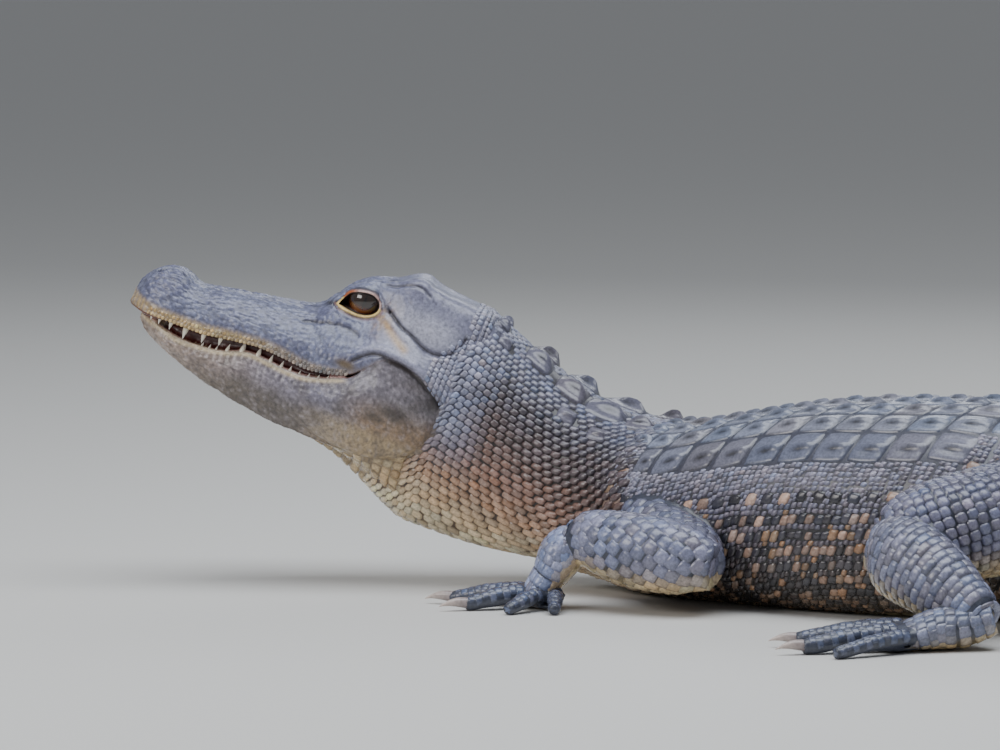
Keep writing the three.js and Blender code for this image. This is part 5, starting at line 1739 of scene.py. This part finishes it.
# Rows are shape, spacing, width, colour, height and turn, for the upper and lower length and palm.
ARM_SCALES = [(BRICK, 9.5, 10.5, (104, 106, 128), 1.4, 32), (BRICK, 10, 11, (120, 122, 146), 1.5, -30),
              (BRICK, 8.5, 9.5, (136, 142, 172), 1.2, 0)]
LEG_SCALES = [(BEAD, 7.6, 8.2, (108, 108, 130), 1.7, 12), (BRICK, 6.8, 13, (120, 122, 144), 1.6, 0),
              (BRICK, 8, 9, (116, 120, 142), 1.2, 0)]
CREAM, DIGIT_TOP, DIGIT_SOLE = (190, 170, 132), (84, 90, 112), (84, 80, 76)
limb_groups = {}
for limb in LIMBS:
    palm = palm_rows(limb)
    groups = []
    for scales, surface, rows, neighbour in zip(
            ARM_SCALES if limb["end"] is HAND else LEG_SCALES, limb["surfaces"],
            (limb["upper"], limb["lower"], palm), (limb["lower"], limb["upper"], limb["lower"])):
        shape, pitch, width, top, rise, turn = scales
        groups.append(limb_pads(shape, surface, rows, pitch, width, top, CREAM, neighbour, rise,
                                turn=limb["side"] * turn))
    for digit in limb["digits"]:
        groups.append(limb_pads(
            BRICK, digit["surface"], digit_rows(digit), 5.6, digit["radius"] * 3.4, DIGIT_TOP, DIGIT_SOLE,
            palm, 0.8, start=0.2, low=math.radians(-20), high=math.radians(200)))
    limb_groups[limb["names"][2]] = groups
coat_piece("arm_scales", limb_groups["hand_left"] + limb_groups["hand_right"], scale_look)
coat_piece("leg_scales", limb_groups["foot_left"] + limb_groups["foot_right"], scale_look)

# Eyes: wet brown balls with an upright slit, set in sockets that the head's surface leaves open.
# Rings of skin close the gap round them; the upper lid has a pink edge and the lower a yellow one.


def eye_piece(side):
    """One eyeball; each point carries its direction from the middle of the iris."""
    rings, around = 40, 64
    polar = np.linspace(0, math.pi, rings + 1)[1:-1, None]
    turn = np.linspace(0, 2 * math.pi, around, endpoint=False)[None, :]
    ball = stack(np.sin(polar) * np.cos(turn), np.cos(polar), np.sin(polar) * np.sin(turn))
    reach = EYE_RADIUS - 1.6 * ease(ball[..., 2], 0.55, 0.75)
    points, faces = loft(placed((EYE_PLACE + reach[..., None] * ball) * [1, side, 1]))
    points[-2:] = [in_head(EYE_PLACE[0], side * (EYE_PLACE[1] + end), EYE_PLACE[2])
                   for end in (EYE_RADIUS, -EYE_RADIUS)]
    mesh = turned_out(new_mesh(f"eyeball_{side}", points, faces))
    look = mesh.attributes.new("Iris", "FLOAT_VECTOR", "POINT")
    local = np.concatenate([ball.reshape(-1, 3), [[0, 1, 0], [0, -1, 0]]])
    look.data.foreach_set("vector", local.ravel())
    smoothed(mesh)
    return mesh


def eye_finish():
    """Dark brown iris with amber at its lower edge, a black slit and a wet surface."""
    look, tree = new_look("eye")
    iris = add_node(tree, "ShaderNodeAttribute", attribute_name="Iris")
    parts = add_node(tree, "ShaderNodeSeparateXYZ", {0: iris.outputs["Vector"]}).outputs

    def combined(operation, *values):
        return add_node(tree, "ShaderNodeMath", dict(enumerate(values)), operation=operation).outputs[0]

    def stretched(value, start, end):
        return add_node(tree, "ShaderNodeMapRange", {
            "Value": value, "From Min": start, "From Max": end}).outputs["Result"]

    low = stretched(parts["Z"], -0.25, -0.75)
    base = blended(tree, (*linear(40, 26, 19), 1), (*linear(122, 62, 22), 1), low)
    reach = combined("ADD", combined("MULTIPLY", combined("ABSOLUTE", parts["X"]), 7.0),
                     combined("ABSOLUTE", parts["Z"]))
    pupil = blended(tree, base, (0.004, 0.003, 0.003, 1), stretched(reach, 0.62, 0.5))
    finish(tree, Base_Color=pupil, Roughness=0.12, Coat_Weight=1.0, Coat_Roughness=0.03)
    return look


def lid_piece(side):
    """A ring of skin round the opening: behind the ball, over the edge and down to the face."""
    outline = lid_outline
    count = len(outline)
    ahead = np.roll(outline, -1, 0) - np.roll(outline, 1, 0)
    away = np.stack([ahead[:, 1], -ahead[:, 0]], -1)
    away /= np.linalg.norm(away, axis=-1, keepdims=True)
    centre = outline.mean(0)
    away *= np.sign(((outline - centre) * away).sum())
    gaps = np.array([-2.2, -0.9, -0.3, 0.1, 0.5, 1.0, 1.6, 2.2, 2.9, 3.6, 4.4, 5.4, 6.6, 8.2, 9.4])
    tries = np.linspace(0, 9.4, 48)[:, None]
    ahead_of_brow = brow_edge(outline[:, 0] + away[:, 0] * tries)[1] - 2
    clear = outline[:, 1] + away[:, 1] * tries < ahead_of_brow
    limit = tries[(np.cumprod(clear, 0).sum(0) - 1).clip(0), 0]
    for blend in (np.min, np.mean):
        limit = blend([np.roll(limit, k) for k in range(-3, 4)], 0)
    limit = np.maximum(limit, 2.4)
    gap = gaps[:, None] + 0 * limit
    gap = np.where(gap > 2.2, 2.2 + (gap - 2.2) * (limit - 2.2) / 7.2, gap)
    x, z = outline.T[:, None] + away.T[:, None] * gap
    out = lid_out(x, z, face_out(x, z), np.maximum(gap, 0))
    behind = eyeball_side(x, z) + np.interp(gap, [-2.2, -0.9, -0.3, 0.1], [-3, -0.4, 0.9, 1.6])
    out = np.where(gap < 0.2, behind, out)
    out = out + 0.12 - np.where(limit < 4, 2.6, 1.6) * ease(gap / limit, 0.72, 1)
    inner = out - np.interp(gap, [-2.2, 9.4], [0.6, 2.0])
    rings = np.stack([np.concatenate([near, far[::-1]]) for near, far in ((x, x), (out, inner), (z, z))],
                     -1).transpose(1, 0, 2)
    points = in_head(rings[..., 0], side * rings[..., 1], rings[..., 2])
    around = points.shape[1]
    index = np.arange(count)[:, None]
    faces = quads_between(index * around, (index + 1) % count * around, around)
    mesh = turned_out(new_mesh(f"lids_{side}", points.reshape(-1, 3), faces))
    gap_all = np.concatenate([gap, gap[::-1]]).T
    upper = rings[..., 2] > np.interp(rings[..., 0], [54, 80], [-1, -3])
    front = ease(rings[..., 0], 71, 79)
    tone = skull_tone(rings)
    tone = np.where((gap_all < 2.4)[..., None], linear(96, 84, 90), tone)
    edge = np.exp(-((gap_all - 1.0) / 1.0) ** 2)
    tone = layered(
        tone,
        ((196, 160, 150), np.where(upper, edge, 0) * (1 - 0.8 * front)),
        ((176, 92, 38), np.where(upper, edge, 0) * front),
        ((222, 190, 118), np.where(upper, 0, np.exp(-((gap_all - 1.1) / 1.4) ** 2))),
        # Painted shade: dark lines in the creases above the upper lid and below the lower lid, and dark where
        # the lids meet the eyeball.
        ((34, 28, 34), np.where(upper, np.exp(-((gap_all - 3.1) / 0.8) ** 2), 0) * 0.9),
        ((110, 72, 74), np.where(upper, 0, np.exp(-((gap_all - 3.6) / 0.7) ** 2)) * 0.7),
        ((30, 14, 12), gap_all < 0.3),
    )
    set_tone(mesh, tone.reshape(-1, 3))
    smoothed(mesh)
    return mesh


eye_look = eye_finish()
for side, node in ((1, "eye_left"), (-1, "eye_right")):
    eyeball = linked(f"eyeball_{node[4:]}", eye_piece(side))
    eyeball.data.materials.append(eye_look)
    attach(eyeball, BODY)
    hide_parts(node)
    lids = linked(f"lids_{node[4:]}", lid_piece(side))
    lids.data.materials.append(skin_look)
    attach(lids, BODY)

# Teeth and claws: pale enamel cones sunk in the gums, and curved horn over the ends of the inner
# three digits. One tree of nodes grows both on points that give each one's aim, roll and size.

# Rows are (place along the head, radius, length).
UPPER_TEETH = [(216, 1.6, 3.4), (209, 1.8, 4.4), (199.5, 2.1, 5.5), (187, 2.8, 8.6), (172, 2.4, 7),
               (158.5, 2.2, 6)]
LOWER_TEETH = [(170.5, 1.6, 3.4), (164.5, 1.6, 3.4), (159, 1.6, 3.4), (150.5, 2.2, 6.4), (139.5, 2.8, 9),
               (126.5, 2.7, 8), (115.8, 2.3, 6.5), (106.3, 2.2, 6), (98.8, 2, 5), (91, 1.7, 4),
               (83.5, 1.6, 3.6), (76, 1.5, 3.2), (69, 1.3, 2.8)]
CLAW_LENGTH, CLAW_RADIUS = 23, 4.4


def horn_tree():
    """A tapered, curved cone of unit length on every point, scaled by the point's own size."""
    tree, given = new_tree("horns", "GeometryNodeTree", [
        ("Points", "Geometry", "INPUT"), ("Root radius", "Float", "INPUT", 0.25),
        ("Bend", "Float", "INPUT", 0.2), ("Sides", "Int", "INPUT", 14),
        ("Material", "Material", "INPUT"), ("Horns", "Geometry", "OUTPUT")])
    bend = add_node(tree, "ShaderNodeCombineXYZ", {"X": given["Bend"], "Z": 1})
    spine = add_node(tree, "GeometryNodeCurveQuadraticBezier", {
        "Resolution": 12, "Start": (0, 0, 0), "Middle": (0, 0, 0.55), "End": bend.outputs[0]})
    along = add_node(tree, "GeometryNodeSplineParameter").outputs["Factor"]
    taper = add_node(tree, "ShaderNodeFloatCurve", {"Value": along})
    points = taper.mapping.curves[0].points
    points[0].location, points[1].location = (0, 1), (1, 0.04)
    points.new(0.4, 0.8)
    points.new(0.8, 0.3)
    taper.mapping.update()
    marks = add_node(tree, "GeometryNodeStoreNamedAttribute", {
        "Geometry": spine.outputs[0], "Name": "Along", "Value": along}, data_type="FLOAT")
    thick = add_node(tree, "GeometryNodeSetCurveRadius", {
        "Curve": marks.outputs["Geometry"], "Radius": taper.outputs[0]})
    ring = add_node(tree, "GeometryNodeCurvePrimitiveCircle", {
        "Resolution": given["Sides"], "Radius": given["Root radius"]})
    solid = add_node(tree, "GeometryNodeCurveToMesh", {
        "Curve": thick.outputs[0], "Scale": taper.outputs[0], "Profile Curve": ring.outputs["Curve"],
        "Fill Caps": True})
    smooth = add_node(tree, "GeometryNodeSetShadeSmooth", {"Geometry": solid.outputs[0]})
    turn, size = [
        add_node(tree, "GeometryNodeInputNamedAttribute", {"Name": name}, data_type="FLOAT_VECTOR")
        for name in ("turn", "size")]
    horns = add_node(tree, "GeometryNodeInstanceOnPoints", {
        "Points": given["Points"], "Instance": smooth.outputs[0],
        "Rotation": turn.outputs["Attribute"], "Scale": size.outputs["Attribute"]})
    real = add_node(tree, "GeometryNodeRealizeInstances", {0: horns.outputs[0]})
    coated = add_node(tree, "GeometryNodeSetMaterial", {
        "Geometry": real.outputs[0], "Material": given["Material"]})
    add_node(tree, "NodeGroupOutput", {"Horns": coated.outputs[0]})
    return tree


HORNS = horn_tree()


def horns(name, places, aims, bends, sizes, finish, root_radius, bend, slot):
    """Horns at places: each points along its aim and curves towards its bend direction."""
    turns = []
    for aim, curl in zip(aims, bends):
        z = Vector(aim).normalized()
        x = (Vector(curl) - z * z.dot(Vector(curl))).normalized()
        y = z.cross(x)
        turns.append(Matrix((x, y, z)).transposed().to_euler())
    mesh = bpy.data.meshes.new(name)
    mesh.from_pydata((np.asarray(places) * 0.001).tolist(), [], [])
    for label, values in (("turn", turns), ("size", np.asarray(sizes) * 0.001)):
        attribute = mesh.attributes.new(label, "FLOAT_VECTOR", "POINT")
        attribute.data.foreach_set("vector", np.array(values, float).ravel())
    piece = linked(name, mesh)
    grown = piece.modifiers.new("horns", "NODES")
    grown.node_group = HORNS
    inputs = {item.name: item.identifier for item in HORNS.interface.items_tree if item.in_out == "INPUT"}
    grown[inputs["Root radius"]] = root_radius
    grown[inputs["Bend"]] = bend
    grown[inputs["Material"]] = finish
    flat = bpy.data.meshes.new_from_object(piece.evaluated_get(bpy.context.evaluated_depsgraph_get()))
    piece.modifiers.clear()
    piece.data = flat
    flat.name = name
    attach(piece, BODY)
    return piece


tooth_look = hide("tooth_enamel", roughness=0.25, flecks=0.08, size=500, relief=0.1, coat=0.6,
                  root=linear(206, 190, 158), tip=linear(236, 232, 222))
claw_look = hide("claw_horn", roughness=0.3, flecks=0.2, size=380, relief=0.3, coat=0.3,
                 root=linear(128, 116, 118), tip=linear(206, 190, 180))
places, aims, bends, sizes = [], [], [], []
for row, lip, way in ((UPPER_TEETH, upper_lip, -1), (LOWER_TEETH, lower_lip, 1)):
    for x, radius, length in row:
        lip_out, lip_up = lip(x)
        for side in (-1, 1):
            out = side * (lip_out - radius - 0.6)
            places.append(in_head(x, out, lip_up - way * 3))
            aims.append(in_head(0.02, side * 0.06, way) - OCCIPUT)
            bends.append(in_head(-0.4, -side, 0) - OCCIPUT)
            sizes.append((radius / 0.25, radius / 0.25, length + 3))
horns("teeth", places, aims, bends, sizes, tooth_look, 0.25, 0.12, "claw_horn")
for limb in LIMBS:
    clawed = [digit for digit in limb["digits"] if digit["clawed"]]
    end = "hand" if limb["end"] is HAND else "foot"
    side_name = limb["names"][2].split("_")[1]
    places = [digit["tip"] - digit["along"] * 3 + [0, 0, 0.6] for digit in clawed]
    aims = [digit["along"] * 0.86 + [0, 0, 0.22] for digit in clawed]
    sizes = [(CLAW_RADIUS / 0.2, CLAW_RADIUS / 0.2, CLAW_LENGTH) for digit in clawed]
    claws = horns(f"claws_{end}_{side_name}", places, aims, [(0, 0, -1)] * len(clawed), sizes, claw_look,
                  0.2, 0.35, "claw_horn")
    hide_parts(*[f"claw_{end}_{side_name}_{i}" for i in (1, 2, 3)])

# Floor, light and camera: a plain pale floor, three soft lights in a pale surround, and a long lens
# that looks at the left side from a little behind, at well above the head's height.

floor_mesh = bpy.data.meshes.new("floor")
floor_mesh.from_pydata([(-30, -30, 0), (30, -30, 0), (30, 30, 0), (-30, 30, 0)], [], [(0, 1, 2, 3)])
floor_piece = linked("floor", floor_mesh)
floor_look, floor_tree = new_look("floor")
finish(floor_tree, Base_Color=(0.62, 0.61, 0.59, 1), Roughness=0.6)
floor_mesh.materials.append(floor_look)


def turned_to(thing, place, aim):
    """Puts a lamp or camera at its place and turns it to its aim."""
    thing.location = place
    thing.rotation_euler = (Vector(aim) - Vector(place)).to_track_quat("-Z", "Y").to_euler()


def soft_light(name, place, aim, size, power, colour):
    """A wide lamp at a place, turned to its aim."""
    light = bpy.data.lights.new(name, "AREA")
    light.shape = "RECTANGLE"
    light.size, light.size_y = size
    light.energy = power
    light.color = colour
    turned_to(linked(name, light), place, aim)


soft_light("sky_light", (0.3, -0.3, 2.6), (0.1, 0, 0), (3.0, 2.0), 92, (0.9, 0.95, 1))
soft_light("front_light", (-1.2, -2.6, 1.5), (0, 0, 0.1), (1.6, 0.9), 33, (1, 0.97, 0.94))
soft_light("rear_light", (-0.6, 2.4, 1.5), (0, 0, 0.1), (2.4, 0.8), 12, (0.92, 0.96, 1))
world = bpy.data.worlds.new("world")
world.use_nodes = True
world.node_tree.nodes["Background"].inputs["Color"].default_value = (0.78, 0.82, 0.88, 1)
world.node_tree.nodes["Background"].inputs["Strength"].default_value = 0.32
bpy.context.scene.world = world

camera_lens = bpy.data.cameras.new("camera")
camera_lens.sensor_width = 36
camera_lens.lens = 234
camera_lens.clip_end = 60
camera = linked("camera", camera_lens)
turned_to(camera, (2.330, -4.382, 0.609), (-0.260, -0.114, 0.173))
bpy.context.scene.camera = camera
